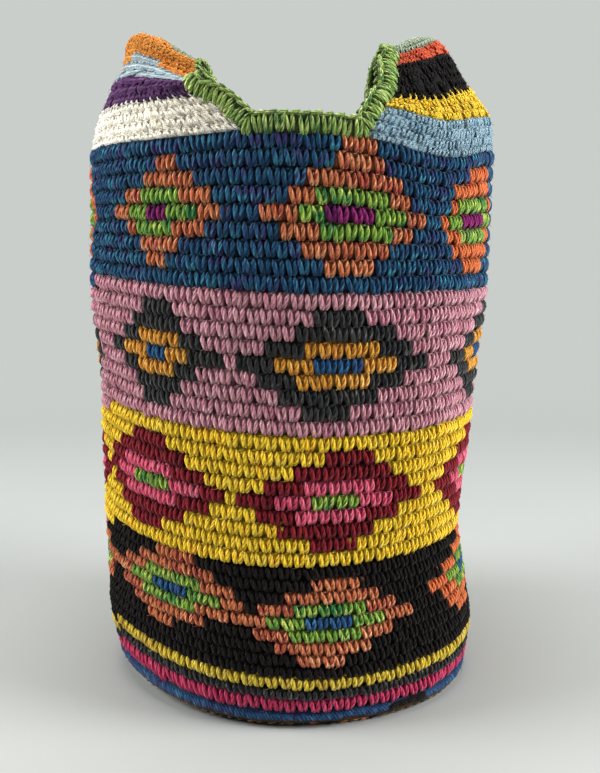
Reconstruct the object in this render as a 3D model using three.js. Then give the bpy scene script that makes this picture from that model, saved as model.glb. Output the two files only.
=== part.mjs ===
// A crocheted hobo bag: a round-based bucket worked in rounds, two broad ears that
// rise from its sides, and one strap that folds over at both ears and hangs inside.
// Millimetres, +Z up, the front towards -Y, the flat base on z = 0.
import * as THREE from "three";

// Fabric
const FABRIC = 5.0; // thickness of the crocheted fabric
const GROOVE = 1.2; // depth of the groove between two rounds
const SEAM_GAP = 0.3; // clearance where one yarn section ends and the next starts
const EDGING_GAP = 1.2; // clearance between the fabric's edge and its edging

// Base
const BASE_RADIUS = 101.0;
const BASE_THICKNESS = 5.0;
const BASE_ROUNDING = 2.0; // round of the base's lower edge

// Bucket: outer radius where each colour ends
const RIM_RADIUS = 105.0;
const WAIST_RADIUS = 102.0;
const BELLY_RADIUS = 105.3;
const SHOULDER_RADIUS = 111.0;
const MOUTH_RADIUS = 110.0;

// Bucket: height of one round in each colour, and the rounds worked in it
const RIM_ROUND = 6.5;
const BLACK_ROUND = 6.15;
const YELLOW_ROUND = 7.3;
const PINK_ROUND = 7.55;
const BLUE_ROUND = 7.7;
const BAND_ROUNDS = 9;
const RING_SIDES = 28;

// Edging along the neckline and the strap
const EDGING_HEIGHT = 10.6;
const EDGING_THICKNESS = 6.8;
const EDGING_SIDES = 6;
const EDGING_STEPS = 4; // steps of the edging between two stations

// Strap: widths from its middle line to an edge, where it leaves the bucket and inside it
const LEFT_EAR_FRONT = 152.0;
const LEFT_EAR_BACK = 116.0;
const RIGHT_EAR_FRONT = 138.8;
const RIGHT_EAR_BACK = 130.0;
const STRAP_HALF_WIDTH = 37.0;
const STRAP_CURL = 260.0;
const EAR_RISE = 61.7; // top of the folds over the neckline
const HANG_DEPTH = 84.0; // lowest point of the strap inside, under the neckline
const STRIPE_ROUNDS = 3;

const COLOURS = {
  tan: 0x8a6a48,
  blue: 0x234b6e,
  magenta: 0xc83c64,
  charcoal: 0x373737,
  yellow: 0xe1be32,
  black: 0x231e1e,
  pink: 0xbe7d96,
  ecru: 0xf0ebd7,
  purple: 0x55325a,
  sky: 0x96b9c8,
  orange: 0xeb9632,
  coral: 0xdc5a32,
  sage: 0x8c9678,
  green: 0x78a046,
};

// Yarn sections of the bucket from the base up
const SECTIONS = [
  { name: "rim_blue", colour: "blue", rounds: 1, round: RIM_ROUND },
  { name: "rim_magenta", colour: "magenta", rounds: 1, round: RIM_ROUND },
  { name: "rim_charcoal", colour: "charcoal", rounds: 1, round: RIM_ROUND },
  { name: "rim_yellow", colour: "yellow", rounds: 1, round: RIM_ROUND, radius: RIM_RADIUS },
  { name: "band_black", colour: "black", rounds: BAND_ROUNDS, round: BLACK_ROUND, radius: WAIST_RADIUS },
  { name: "band_yellow", colour: "yellow", rounds: BAND_ROUNDS, round: YELLOW_ROUND, radius: BELLY_RADIUS },
  { name: "band_pink", colour: "pink", rounds: BAND_ROUNDS, round: PINK_ROUND, radius: SHOULDER_RADIUS },
  { name: "band_blue", colour: "blue", rounds: BAND_ROUNDS, round: BLUE_ROUND, radius: MOUTH_RADIUS },
];

// Heights and radii that the bucket passes through
const knots = [{ z: BASE_THICKNESS, r: BASE_RADIUS }];
let level = BASE_THICKNESS;
for (const section of SECTIONS) {
  section.bottom = level;
  level += section.rounds * section.round;
  section.top = level;
  if (section.radius) {
    knots.push({ z: level, r: section.radius });
  }
}
const MOUTH_HEIGHT = level;

// Stations along the strap's middle line, from the left side over both folds to the
// right side. yaw turns the strap about Z, roll lowers its front edge, tilt leans it
// inwards (90 is the fold, 180 hangs face in), curl is the radius it is rounded to
// across its width, bow moves both edges along +X, front and back are its widths from
// the middle line to each edge. Angles in degrees.
const STATIONS = [
  leftFoot(),
  {
    ...place(-inset(6), 0, over(0.308), 0, 0, 1),
    ...shape(MOUTH_RADIUS + 1, 0, LEFT_EAR_FRONT - 28, LEFT_EAR_BACK - 28),
  },
  {
    ...place(-inset(16), -6, over(0.6), 4, 1, 14),
    ...shape(MOUTH_RADIUS + 32, 7, LEFT_EAR_FRONT - 54, LEFT_EAR_BACK - 46),
  },
  {
    ...place(-inset(34), -14, over(0.822), 10, 2, 50),
    ...shape(MOUTH_RADIUS + 20, 10.5, STRAP_HALF_WIDTH + 30, STRAP_HALF_WIDTH + 23),
  },
  {
    ...place(-inset(39), -18, over(1), 14, 0, 90),
    ...shape(MOUTH_RADIUS + 21, 14, STRAP_HALF_WIDTH + 18, STRAP_HALF_WIDTH + 14),
  },
  {
    ...place(-inset(55), -14, over(0.903), 11, 1, 135),
    ...shape(MOUTH_RADIUS + 40, 10, STRAP_HALF_WIDTH + 12, STRAP_HALF_WIDTH + 6),
  },
  {
    ...place(-inset(66), -10, over(0.57), 6, 1, 165),
    ...shape(MOUTH_RADIUS + 70, 5, STRAP_HALF_WIDTH + 7, STRAP_HALF_WIDTH + 2),
  },
  {
    ...place(-inset(69), -5, over(-0.02), 2, 0, 176),
    ...shape(MOUTH_RADIUS + 110, 1, STRAP_HALF_WIDTH + 3, STRAP_HALF_WIDTH),
  },
  hanging(-38, 40, 165),
  hanging(-22, 10, 128),
  hanging(0, 0, 90),
  hanging(22, 10, 52),
  hanging(40, 40, 15),
  {
    ...place(inset(69), -3, over(-0.02), -3, 0, 4),
    ...shape(MOUTH_RADIUS + 110, 0, STRAP_HALF_WIDTH + 4, STRAP_HALF_WIDTH + 1),
  },
  {
    ...place(inset(68), -6, over(0.595), -4, 2, 15),
    ...shape(MOUTH_RADIUS + 70, -4.7, STRAP_HALF_WIDTH + 12, STRAP_HALF_WIDTH + 4),
  },
  {
    ...place(inset(52), -7, over(0.903), -7, 1, 45),
    ...shape(MOUTH_RADIUS + 70, -10, STRAP_HALF_WIDTH + 17, STRAP_HALF_WIDTH + 9),
  },
  {
    ...place(inset(33), -6, over(1), -10, 1, 90),
    ...shape(MOUTH_RADIUS + 70, -13, STRAP_HALF_WIDTH + 26, STRAP_HALF_WIDTH + 18),
  },
  {
    ...place(inset(19), -2, over(0.854), -5, 2, 156),
    ...shape(MOUTH_RADIUS + 8, -6.5, STRAP_HALF_WIDTH + 43, STRAP_HALF_WIDTH + 29),
  },
  {
    ...place(inset(6.5), 0, over(0.511), 0, 0, 172),
    ...shape(MOUTH_RADIUS - 13, 0, RIGHT_EAR_FRONT - 28.8, RIGHT_EAR_BACK - 42),
  },
  {
    ...place(inset(0), 0, over(0.284), 0, 0, 179.5),
    ...shape(MOUTH_RADIUS - 5, 0, RIGHT_EAR_FRONT - 12.8, RIGHT_EAR_BACK - 22),
  },
  rightFoot(),
];
const LAST = STATIONS.length - 1;

// Places where the soft ears have slumped from that form: the middle of each, how far it
// reaches and how far it has moved.
const SLUMPS = [
  slump([-inset(39), 0, over(0.92)], [45, 50, 15], [-14, 0, 1]),
  slump([-inset(30), 35, over(0.79)], [35, 30, 16], [-10, 0, 0]),
  slump([-inset(65), -72, over(0.98)], [38, 38, 13], [0, 0, -14]),
  slump([inset(10), 0, over(0.66)], [40, 60, 22], [-6, 0, 0]),
  slump([inset(48), -75, over(0.74)], [30, 35, 20], [-5, 0, 2]),
  slump([inset(55), -72, over(1.05)], [38, 40, 13], [0, 0, -8]),
];

// Yarn sections of the strap: where each starts and ends, in stations from the left
const STRIPES = [
  { name: "left_ear_white", colour: "ecru", from: 0, to: 1, across: 16 },
  { name: "left_ear_purple", colour: "purple", from: 1, to: 2, across: 14 },
  { name: "left_ear_sky", colour: "sky", from: 2, to: 3.1, across: 12 },
  { name: "left_ear_orange", colour: "orange", from: 3.1, to: 4.4, across: 10 },
  { name: "strap_middle", colour: "sage", from: 4.4, to: LAST - 3.6, across: 10, steps: 30 },
  { name: "right_ear_coral", colour: "coral", from: LAST - 3.6, to: LAST - 3, across: 10 },
  { name: "right_ear_black", colour: "black", from: LAST - 3, to: LAST - 2, across: 12 },
  { name: "right_ear_yellow", colour: "yellow", from: LAST - 2, to: LAST - 1, across: 14 },
  { name: "right_ear_sky", colour: "sky", from: LAST - 1, to: LAST, across: 16 },
];

const radians = THREE.MathUtils.degToRad;

/** Distance from the bag's axis of a point lying d inside the mouth. */
function inset(d) {
  return MOUTH_RADIUS - d;
}

/** Height over the neckline, as a share of the ears' rise. */
function over(share) {
  return MOUTH_HEIGHT + share * EAR_RISE;
}

/** Where a station's middle lies and how it is turned. */
function place(x, y, z, yaw, roll, tilt) {
  return { x, y, z, yaw, roll, tilt };
}

/** How a station is rounded and how wide it is. */
function shape(curl, bow, front, back) {
  return { curl, bow, front, back };
}

/** A place where the fabric has slumped. */
function slump(middle, reach, move) {
  const [at, size, shift] = [middle, reach, move].map((values) => new THREE.Vector3(...values));
  return { at, size, shift };
}

/** Where the left ear leaves the bucket. */
function leftFoot() {
  const stand = place(-inset(0), 0, over(0), 0, 0, 0);
  return { ...stand, ...shape(MOUTH_RADIUS, 0, LEFT_EAR_FRONT, LEFT_EAR_BACK) };
}

/** Where the right ear leaves the bucket. */
function rightFoot() {
  const stand = place(inset(0), 0, over(0), 0, 0, 180);
  return { ...stand, ...shape(MOUTH_RADIUS, 0, RIGHT_EAR_FRONT, RIGHT_EAR_BACK) };
}

/** A station of the part that hangs inside, at a height above its lowest point. */
function hanging(x, height, tilt) {
  const stand = place(x, 0, MOUTH_HEIGHT - HANG_DEPTH + height, 0, 0, tilt);
  return { ...stand, ...shape(STRAP_CURL, 0, STRAP_HALF_WIDTH, STRAP_HALF_WIDTH) };
}

/** Cubic through four values, from the second to the third as t goes from 0 to 1. */
function spline(a, b, c, d, t) {
  const square = t * t;
  const rise = (c - a) * t;
  const bend = (2 * a - 5 * b + 4 * c - d) * square;
  const turn = (3 * b - a - 3 * c + d) * square * t;
  return 0.5 * (2 * b + rise + bend + turn);
}

/** Outer radius of the bucket at the height z. */
function outerRadius(z) {
  let i = 0;
  while (i < knots.length - 2 && z > knots[i + 1].z) {
    i += 1;
  }
  const from = knots[i];
  const to = knots[i + 1];
  const t = (z - from.z) / (to.z - from.z);
  const ease = t * t * (3 - 2 * t);
  return from.r + (to.r - from.r) * ease;
}

/** Values of the strap at u stations from its left end. */
function strapAt(u) {
  const i = Math.min(Math.max(Math.floor(u), 0), LAST - 1);
  const around = [i - 1, i, i + 1, i + 2].map((k) => STATIONS[Math.min(Math.max(k, 0), LAST)]);
  const value = {};
  for (const key of Object.keys(STATIONS[0])) {
    const [a, b, c, d] = around.map((station) => station[key]);
    value[key] = spline(a, b, c, d, u - i);
  }
  return value;
}

/** Point of the ears' plain form, moved to where the soft fabric has slumped to. */
function slumped(point) {
  const total = new THREE.Vector3();
  for (const { at, size, shift } of SLUMPS) {
    const apart = point.clone().sub(at).divide(size);
    total.addScaledVector(shift, Math.exp(-apart.lengthSq()));
  }
  return point.clone().add(total);
}

/**
 * Point of the strap at station u, t across from -1 at the back to 1 at the front, at a
 * depth under its outer face.
 */
function strapPoint(u, t, depth) {
  const s = strapAt(u);
  const yaw = radians(s.yaw);
  const roll = radians(s.roll);
  const tilt = radians(s.tilt);
  const ahead = new THREE.Vector3(Math.cos(yaw), Math.sin(yaw), 0);
  const inward = ahead.clone().multiplyScalar(Math.cos(tilt));
  inward.z = -Math.sin(tilt);
  const across = new THREE.Vector3(Math.sin(yaw), -Math.cos(yaw), 0).multiplyScalar(Math.cos(roll));
  across.z = -Math.sin(roll);
  inward.addScaledVector(across, -inward.dot(across)).normalize();
  const angle = (t * (t < 0 ? s.back : s.front)) / s.curl;
  const normal = inward.clone().multiplyScalar(Math.cos(angle)).addScaledVector(across, -Math.sin(angle));
  const point = new THREE.Vector3(s.x, s.y, s.z);
  point.addScaledVector(inward, s.curl * (1 - Math.cos(angle)));
  point.addScaledVector(across, s.curl * Math.sin(angle));
  point.addScaledVector(ahead, s.bow * t * t);
  point.addScaledVector(normal, depth);
  return slumped(point);
}

/** Mesh from points and triangles, named and coloured. */
function piece(name, colour, points, triangles) {
  const geometry = new THREE.BufferGeometry();
  geometry.setAttribute("position", new THREE.Float32BufferAttribute(points.flat(), 3));
  geometry.setIndex(triangles.flat());
  geometry.computeVertexNormals();
  const finish = { color: COLOURS[colour], roughness: 0.95, metalness: 0 };
  const material = new THREE.MeshStandardMaterial(finish);
  const mesh = new THREE.Mesh(geometry, material);
  mesh.name = name;
  return mesh;
}

/** Ring turned about Z from a closed profile that climbs on its outer side. */
function turned(name, colour, profile) {
  const points = [];
  const triangles = [];
  const count = profile.length;
  for (let i = 0; i < RING_SIDES; i += 1) {
    const angle = (i / RING_SIDES) * 2 * Math.PI;
    for (const [r, z] of profile) {
      points.push([r * Math.cos(angle), r * Math.sin(angle), z]);
    }
  }
  for (let i = 0; i < RING_SIDES; i += 1) {
    const here = i * count;
    const next = ((i + 1) % RING_SIDES) * count;
    for (let j = 0; j < count; j += 1) {
      const up = (j + 1) % count;
      triangles.push([here + j, next + j, next + up]);
      triangles.push([here + j, next + up, here + up]);
    }
  }
  return piece(name, colour, points, triangles);
}

/** Flat round base with a rounded lower edge. */
function base() {
  const side = BASE_RADIUS;
  const top = BASE_THICKNESS - SEAM_GAP;
  const profile = [
    [side - BASE_ROUNDING, 0],
    [side, BASE_ROUNDING],
    [side, top],
  ];
  const points = [];
  const triangles = [];
  for (let i = 0; i < RING_SIDES; i += 1) {
    const angle = (i / RING_SIDES) * 2 * Math.PI;
    for (const [r, z] of profile) {
      points.push([r * Math.cos(angle), r * Math.sin(angle), z]);
    }
  }
  const below = points.push([0, 0, 0]) - 1;
  const above = points.push([0, 0, top]) - 1;
  const count = profile.length;
  for (let i = 0; i < RING_SIDES; i += 1) {
    const here = i * count;
    const next = ((i + 1) % RING_SIDES) * count;
    triangles.push([below, next, here]);
    for (let j = 0; j < count - 1; j += 1) {
      triangles.push([here + j, next + j, next + j + 1]);
      triangles.push([here + j, next + j + 1, here + j + 1]);
    }
    triangles.push([above, here + count - 1, next + count - 1]);
  }
  return piece("base_disc", "tan", points, triangles);
}

/** One yarn section of the bucket: ribbed outside, smooth inside. */
function section({ name, colour, rounds, round, bottom, top }) {
  const low = bottom;
  const high = top - SEAM_GAP;
  const profile = [];
  for (let i = 0; i <= rounds; i += 1) {
    const valley = Math.min(bottom + i * round, high);
    profile.push([outerRadius(valley) - GROOVE, valley]);
    if (i < rounds) {
      const crest = valley + round / 2;
      profile.push([outerRadius(crest), crest]);
    }
  }
  const inner = [high, (low + high) / 2, low];
  for (const z of inner) {
    profile.push([outerRadius(z) - FABRIC, z]);
  }
  return turned(name, colour, profile);
}

/** One yarn section of the strap: a bowed slab, ribbed on the outer face of the ears. */
function stripe({ name, colour, from, to, across, steps }) {
  const rows = steps ?? 2 * STRIPE_ROUNDS;
  const length = strapPoint(from, 0, 0).distanceTo(strapPoint(to, 0, 0));
  const trim = (SEAM_GAP * (to - from)) / length;
  const start = from + trim;
  const end = to - trim;
  const points = [];
  const triangles = [];
  for (let i = 0; i <= rows; i += 1) {
    const u = start + ((end - start) * i) / rows;
    const dip = steps || i % 2 ? 0 : GROOVE;
    for (const depth of [dip, FABRIC]) {
      for (let j = 0; j <= across; j += 1) {
        points.push(strapPoint(u, (2 * j) / across - 1, depth).toArray());
      }
    }
  }
  const width = across + 1;
  const outer = (i, j) => i * 2 * width + j;
  const inner = (i, j) => (i * 2 + 1) * width + j;
  const quad = (a, b, c, d) => triangles.push([a, b, c], [a, c, d]);
  for (let i = 0; i < rows; i += 1) {
    for (let j = 0; j < across; j += 1) {
      quad(outer(i, j), outer(i, j + 1), outer(i + 1, j + 1), outer(i + 1, j));
      quad(inner(i, j), inner(i + 1, j), inner(i + 1, j + 1), inner(i, j + 1));
    }
    quad(inner(i, 0), outer(i, 0), outer(i + 1, 0), inner(i + 1, 0));
    quad(outer(i, across), inner(i, across), inner(i + 1, across), outer(i + 1, across));
  }
  for (let j = 0; j < across; j += 1) {
    quad(inner(0, j), inner(0, j + 1), outer(0, j + 1), outer(0, j));
    quad(outer(rows, j), outer(rows, j + 1), inner(rows, j + 1), inner(rows, j));
  }
  return piece(name, colour, points, triangles);
}

/**
 * Edge of the fabric round one opening, at the middle of its thickness, and the way
 * out of the fabric there. side is 1 at the front, -1 at the back.
 */
function openingEdge(side) {
  const edge = [];
  const neckSteps = 8;
  const left = (side > 0 ? LEFT_EAR_FRONT : LEFT_EAR_BACK) / MOUTH_RADIUS - Math.PI / 2;
  const right = Math.PI / 2 - (side > 0 ? RIGHT_EAR_FRONT : RIGHT_EAR_BACK) / MOUTH_RADIUS;
  const radius = MOUTH_RADIUS - FABRIC / 2;
  for (let i = 0; i < neckSteps; i += 1) {
    const angle = left + ((right - left) * i) / neckSteps;
    const x = radius * Math.sin(angle);
    const y = -side * radius * Math.cos(angle);
    const point = new THREE.Vector3(x, y, MOUTH_HEIGHT);
    edge.push({ point, out: new THREE.Vector3(0, 0, 1) });
  }
  const strapSteps = LAST * EDGING_STEPS;
  for (let i = 0; i < strapSteps; i += 1) {
    const u = LAST - (i * LAST) / strapSteps;
    const point = strapPoint(u, side, FABRIC / 2);
    const within = strapPoint(u, 0.98 * side, FABRIC / 2);
    edge.push({ point, out: point.clone().sub(within).normalize() });
  }
  return edge;
}

/** Closed roll of edging round one opening, clear of the fabric's edge. */
function edging(name, side) {
  const edge = openingEdge(side);
  const count = edge.length;
  const points = [];
  const triangles = [];
  edge.forEach(({ point, out }, k) => {
    const before = edge[(k + count - 1) % count].point;
    const after = edge[(k + 1) % count].point;
    const ahead = after.clone().sub(point).normalize();
    const along = after.clone().sub(before).normalize();
    const away = out.clone().addScaledVector(along, -out.dot(along)).normalize();
    const through = along.clone().cross(away).normalize();
    const mitre = 1 / Math.max(along.dot(ahead), 0.8);
    const centre = point.clone().addScaledVector(away, (EDGING_GAP + EDGING_HEIGHT / 2) * mitre);
    for (let j = 0; j < EDGING_SIDES; j += 1) {
      const angle = (j / EDGING_SIDES) * 2 * Math.PI;
      const corner = centre.clone();
      corner.addScaledVector(away, (Math.cos(angle) * EDGING_HEIGHT) / 2);
      corner.addScaledVector(through, (Math.sin(angle) * EDGING_THICKNESS) / 2);
      points.push(corner.toArray());
    }
  });
  for (let k = 0; k < count; k += 1) {
    const here = k * EDGING_SIDES;
    const next = ((k + 1) % count) * EDGING_SIDES;
    for (let j = 0; j < EDGING_SIDES; j += 1) {
      const turn = (j + 1) % EDGING_SIDES;
      triangles.push([here + j, here + turn, next + turn]);
      triangles.push([here + j, next + turn, next + j]);
    }
  }
  return piece(name, "green", points, triangles);
}

const bag = new THREE.Group();
bag.name = "crocheted_hobo_bag";
bag.add(base());
SECTIONS.forEach((entry) => bag.add(section(entry)));
STRIPES.forEach((entry) => bag.add(stripe(entry)));
bag.add(edging("front_edging", 1));
bag.add(edging("back_edging", -1));

export default bag;
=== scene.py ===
"""A crocheted hobo bag, with every stitch laid on the bag's own surfaces.

Lengths are millimetres until a mesh is made. +Z is up and the front is towards -Y. A
stitch has its own coordinates: a runs along its round in stitch widths, b up the fabric
in rounds, and c out of the fabric in millimetres, from the fabric's outer face.
"""

import logging
import math
from collections.abc import Callable, Sequence
from dataclasses import dataclass, field, replace
from enum import IntEnum

import bpy
import numpy as np
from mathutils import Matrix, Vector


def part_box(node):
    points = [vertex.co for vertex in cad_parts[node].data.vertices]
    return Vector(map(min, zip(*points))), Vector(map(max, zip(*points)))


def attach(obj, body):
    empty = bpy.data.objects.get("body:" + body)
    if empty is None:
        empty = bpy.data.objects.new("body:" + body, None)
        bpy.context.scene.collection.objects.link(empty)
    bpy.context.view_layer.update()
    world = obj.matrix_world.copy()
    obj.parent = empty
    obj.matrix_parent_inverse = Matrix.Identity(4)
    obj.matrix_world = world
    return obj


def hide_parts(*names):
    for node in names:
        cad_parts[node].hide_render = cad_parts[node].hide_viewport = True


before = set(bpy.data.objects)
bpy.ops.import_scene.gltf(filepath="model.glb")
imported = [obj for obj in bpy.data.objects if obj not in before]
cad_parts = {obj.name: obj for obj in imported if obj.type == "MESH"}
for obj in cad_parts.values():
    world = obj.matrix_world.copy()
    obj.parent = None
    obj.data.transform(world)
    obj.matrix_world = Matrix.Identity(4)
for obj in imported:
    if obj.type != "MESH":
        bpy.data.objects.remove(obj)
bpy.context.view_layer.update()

LOG = logging.getLogger("hobo_bag")
MM = 0.001
SEED = 7
BODY = "root"

Array = np.ndarray
Rgb = tuple[int, int, int]
Spot = tuple[float, float, float]
Surface = Callable[[Array, Array, Array], Array]
Inputs = dict[str | int, object]


class Shade(IntEnum):
    """Yarns that the bag is worked in."""

    BLUE = 0
    RUST = 1
    GREEN = 2
    MAGENTA = 3
    PINK = 4
    CHARCOAL = 5
    GOLD = 6
    AZURE = 7
    YELLOW = 8
    BURGUNDY = 9
    ROSE = 10
    BLACK = 11
    CERISE = 12
    ECRU = 13
    PURPLE = 14
    SKY = 15
    ORANGE = 16
    CORAL = 17
    SAGE = 18
    LEAF = 19
    TAN = 20
    EMBER = 21
    MIST = 22
    STRAW = 23
    NAVY = 24


class Seed(IntEnum):
    """Where the unevenness of each part starts."""

    CORD = 60
    BASE = 100
    BASE_EDGE = 140
    STRAP = 200
    FRONT_EDGING = 700
    BACK_EDGING = 720


@dataclass(frozen=True)
class Yarn:
    """Finish of one yarn.

    Attributes:
        base: Main colour, sRGB from 0 to 255.
        fleck: Colour of the fibres that are mixed in.
        fleck_share: How much of the surface those fibres take.
        drift: Colour that the yarn drifts to along its length.
        drift_share: How much of the yarn has drifted.
        halo: Sheen of the loose fibres round the yarn.
    """

    base: Rgb
    fleck: Rgb
    fleck_share: float
    drift: Rgb
    drift_share: float
    halo: float


YARNS: dict[Shade, Yarn] = {
    Shade.BLUE: Yarn((26, 70, 108), (54, 132, 156), 0.45, (50, 46, 98), 0.42, 0.14),
    Shade.RUST: Yarn((200, 112, 72), (236, 170, 122), 0.44, (164, 72, 56), 0.44, 0.14),
    Shade.GREEN: Yarn((116, 162, 58), (204, 216, 104), 0.46, (44, 116, 62), 0.46, 0.16),
    Shade.MAGENTA: Yarn((136, 34, 104), (172, 60, 132), 0.30, (98, 22, 86), 0.30, 0.10),
    Shade.PINK: Yarn((208, 146, 158), (230, 180, 188), 0.44, (184, 116, 134), 0.44, 0.20),
    Shade.CHARCOAL: Yarn((46, 46, 46), (120, 120, 116), 0.32, (30, 32, 36), 0.44, 0.20),
    Shade.GOLD: Yarn((222, 154, 54), (248, 202, 118), 0.40, (188, 114, 38), 0.40, 0.14),
    Shade.AZURE: Yarn((40, 84, 130), (74, 134, 170), 0.38, (42, 56, 106), 0.38, 0.10),
    Shade.YELLOW: Yarn((248, 208, 52), (255, 232, 110), 0.38, (230, 178, 40), 0.34, 0.10),
    Shade.BURGUNDY: Yarn((132, 28, 40), (166, 50, 62), 0.30, (98, 18, 30), 0.35, 0.10),
    Shade.ROSE: Yarn((226, 92, 122), (244, 140, 160), 0.42, (190, 60, 90), 0.38, 0.14),
    Shade.BLACK: Yarn((25, 20, 19), (66, 56, 50), 0.22, (15, 13, 13), 0.40, 0.06),
    Shade.CERISE: Yarn((208, 66, 108), (228, 104, 130), 0.35, (186, 48, 92), 0.35, 0.10),
    Shade.ECRU: Yarn((246, 241, 226), (252, 249, 240), 0.35, (236, 228, 208), 0.35, 0.15),
    Shade.PURPLE: Yarn((92, 52, 100), (134, 88, 136), 0.34, (70, 38, 84), 0.35, 0.12),
    Shade.SKY: Yarn((158, 190, 206), (196, 218, 226), 0.38, (120, 162, 184), 0.36, 0.15),
    Shade.ORANGE: Yarn((238, 152, 56), (248, 184, 98), 0.35, (220, 122, 48), 0.40, 0.12),
    Shade.CORAL: Yarn((224, 92, 56), (238, 132, 84), 0.35, (204, 70, 44), 0.35, 0.12),
    Shade.SAGE: Yarn((150, 162, 138), (186, 194, 170), 0.35, (120, 140, 112), 0.35, 0.15),
    Shade.LEAF: Yarn((138, 170, 84), (214, 222, 140), 0.44, (78, 120, 60), 0.42, 0.20),
    Shade.TAN: Yarn((128, 98, 68), (176, 140, 92), 0.36, (92, 82, 62), 0.40, 0.10),
    Shade.EMBER: Yarn((218, 114, 66), (234, 156, 98), 0.35, (196, 88, 54), 0.35, 0.10),
    Shade.MIST: Yarn((172, 192, 198), (204, 218, 220), 0.38, (136, 164, 178), 0.36, 0.20),
    Shade.NAVY: Yarn((36, 70, 110), (74, 118, 152), 0.40, (46, 44, 92), 0.42, 0.10),
    Shade.STRAW: Yarn((226, 196, 66), (246, 224, 122), 0.38, (176, 140, 44), 0.42, 0.10),
}


def linear(colour: Rgb) -> tuple[float, float, float, float]:
    """Turn an sRGB colour into a linear one.

    Args:
        colour: sRGB, 0 to 255.

    Returns:
        Linear red, green, blue and an alpha of 1.
    """
    parts = []
    for value in colour:
        part = value / 255.0
        parts.append(part / 12.92 if part <= 0.04045 else ((part + 0.055) / 1.055) ** 2.4)
    return (parts[0], parts[1], parts[2], 1.0)


class NodeSheet:
    """Places nodes in a tree from left to right and links them.

    Attributes:
        STEP: Distance from one node to the next.
    """

    STEP = 220.0

    def __init__(self, tree: bpy.types.NodeTree) -> None:
        """Start on an empty tree."""
        self.tree = tree
        self.tree.nodes.clear()

    def add(self, kind: str, inputs: Inputs | None = None, **settings: object) -> bpy.types.Node:
        """Add one node.

        Args:
            kind: Blender's name of the node.
            inputs: A socket to link or a plain value to set, for the inputs that need one.
            **settings: Properties to set on it.

        Returns:
            The node.
        """
        node = self.tree.nodes.new(kind)
        node.location = (self.STEP * len(self.tree.nodes), 0.0)
        for name, value in settings.items():
            setattr(node, name, value)
        for name, source in (inputs or {}).items():
            self.feed(node.inputs[name], source)
        return node

    def feed(self, target: bpy.types.NodeSocket, source: object) -> None:
        """Link a socket, or set its value where the source is a plain one.

        Args:
            target: The input.
            source: An output to link it to, or its value.
        """
        if isinstance(source, bpy.types.NodeSocket):
            self.tree.links.new(source, target)
        else:
            target.default_value = source

    def math(self, operation: str, first: object, second: object,
             clamp: bool = False) -> bpy.types.NodeSocket:
        """Add a math node.

        Args:
            operation: What it does.
            first: Its first input, a socket or a number.
            second: Its second input.
            clamp: Whether the result stays between 0 and 1.

        Returns:
            Its output.
        """
        node = self.add("ShaderNodeMath", {0: first, 1: second}, operation=operation, use_clamp=clamp)
        return node.outputs[0]

    def mix(self, share: object, first: object, second: object, blend: str = "MIX") -> bpy.types.NodeSocket:
        """Add a colour mix.

        Args:
            share: How much of the second colour is taken.
            first: First colour.
            second: Second colour.
            blend: How they are mixed.

        Returns:
            The mixed colour.
        """
        colours = {0: share, 6: first, 7: second}
        return self.add("ShaderNodeMix", colours, data_type="RGBA", blend_type=blend).outputs[2]

    def shaded(self, colour: object, bright: bpy.types.NodeSocket) -> bpy.types.NodeSocket:
        """Multiply a colour by a brightness.

        Args:
            colour: The colour.
            bright: The brightness, 1 to leave the colour as it is.

        Returns:
            The product.
        """
        grey = self.add("ShaderNodeCombineColor", {0: bright, 1: bright, 2: bright})
        return self.mix(1.0, colour, grey.outputs[0], "MULTIPLY")

    def noise(self, vector: bpy.types.NodeSocket, scale: float, detail: float) -> bpy.types.NodeSocket:
        """Add a noise texture.

        Args:
            vector: Where it is read.
            scale: Its scale.
            detail: Its detail.

        Returns:
            Its value.
        """
        inputs = {"Vector": vector, "Scale": scale, "Detail": detail}
        return self.add("ShaderNodeTexNoise", inputs, noise_dimensions="3D").outputs[0]

    def over(self, noise: bpy.types.NodeSocket, share: bpy.types.NodeSocket,
             limit: Spot) -> bpy.types.NodeSocket:
        """Mask of the places where a noise passes a limit.

        Args:
            noise: The noise.
            share: How much of the surface is wanted.
            limit: The limit at a share of 0, how far the share lowers it, and how sharp the edges are.

        Returns:
            The mask.
        """
        edge = self.math("SUBTRACT", limit[0], self.math("MULTIPLY", share, limit[1]))
        return self.math("MULTIPLY", self.math("SUBTRACT", noise, edge), limit[2], clamp=True)

    def strand(self) -> tuple[bpy.types.NodeSocket, bpy.types.NodeSocket]:
        """Place on a strand.

        Returns:
            Place round the strand and along it.
        """
        wrap = self.add("ShaderNodeUVMap", uv_map="Strand")
        apart = self.add("ShaderNodeSeparateXYZ", {0: wrap.outputs[0]})
        return apart.outputs[0], apart.outputs[1]


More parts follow.
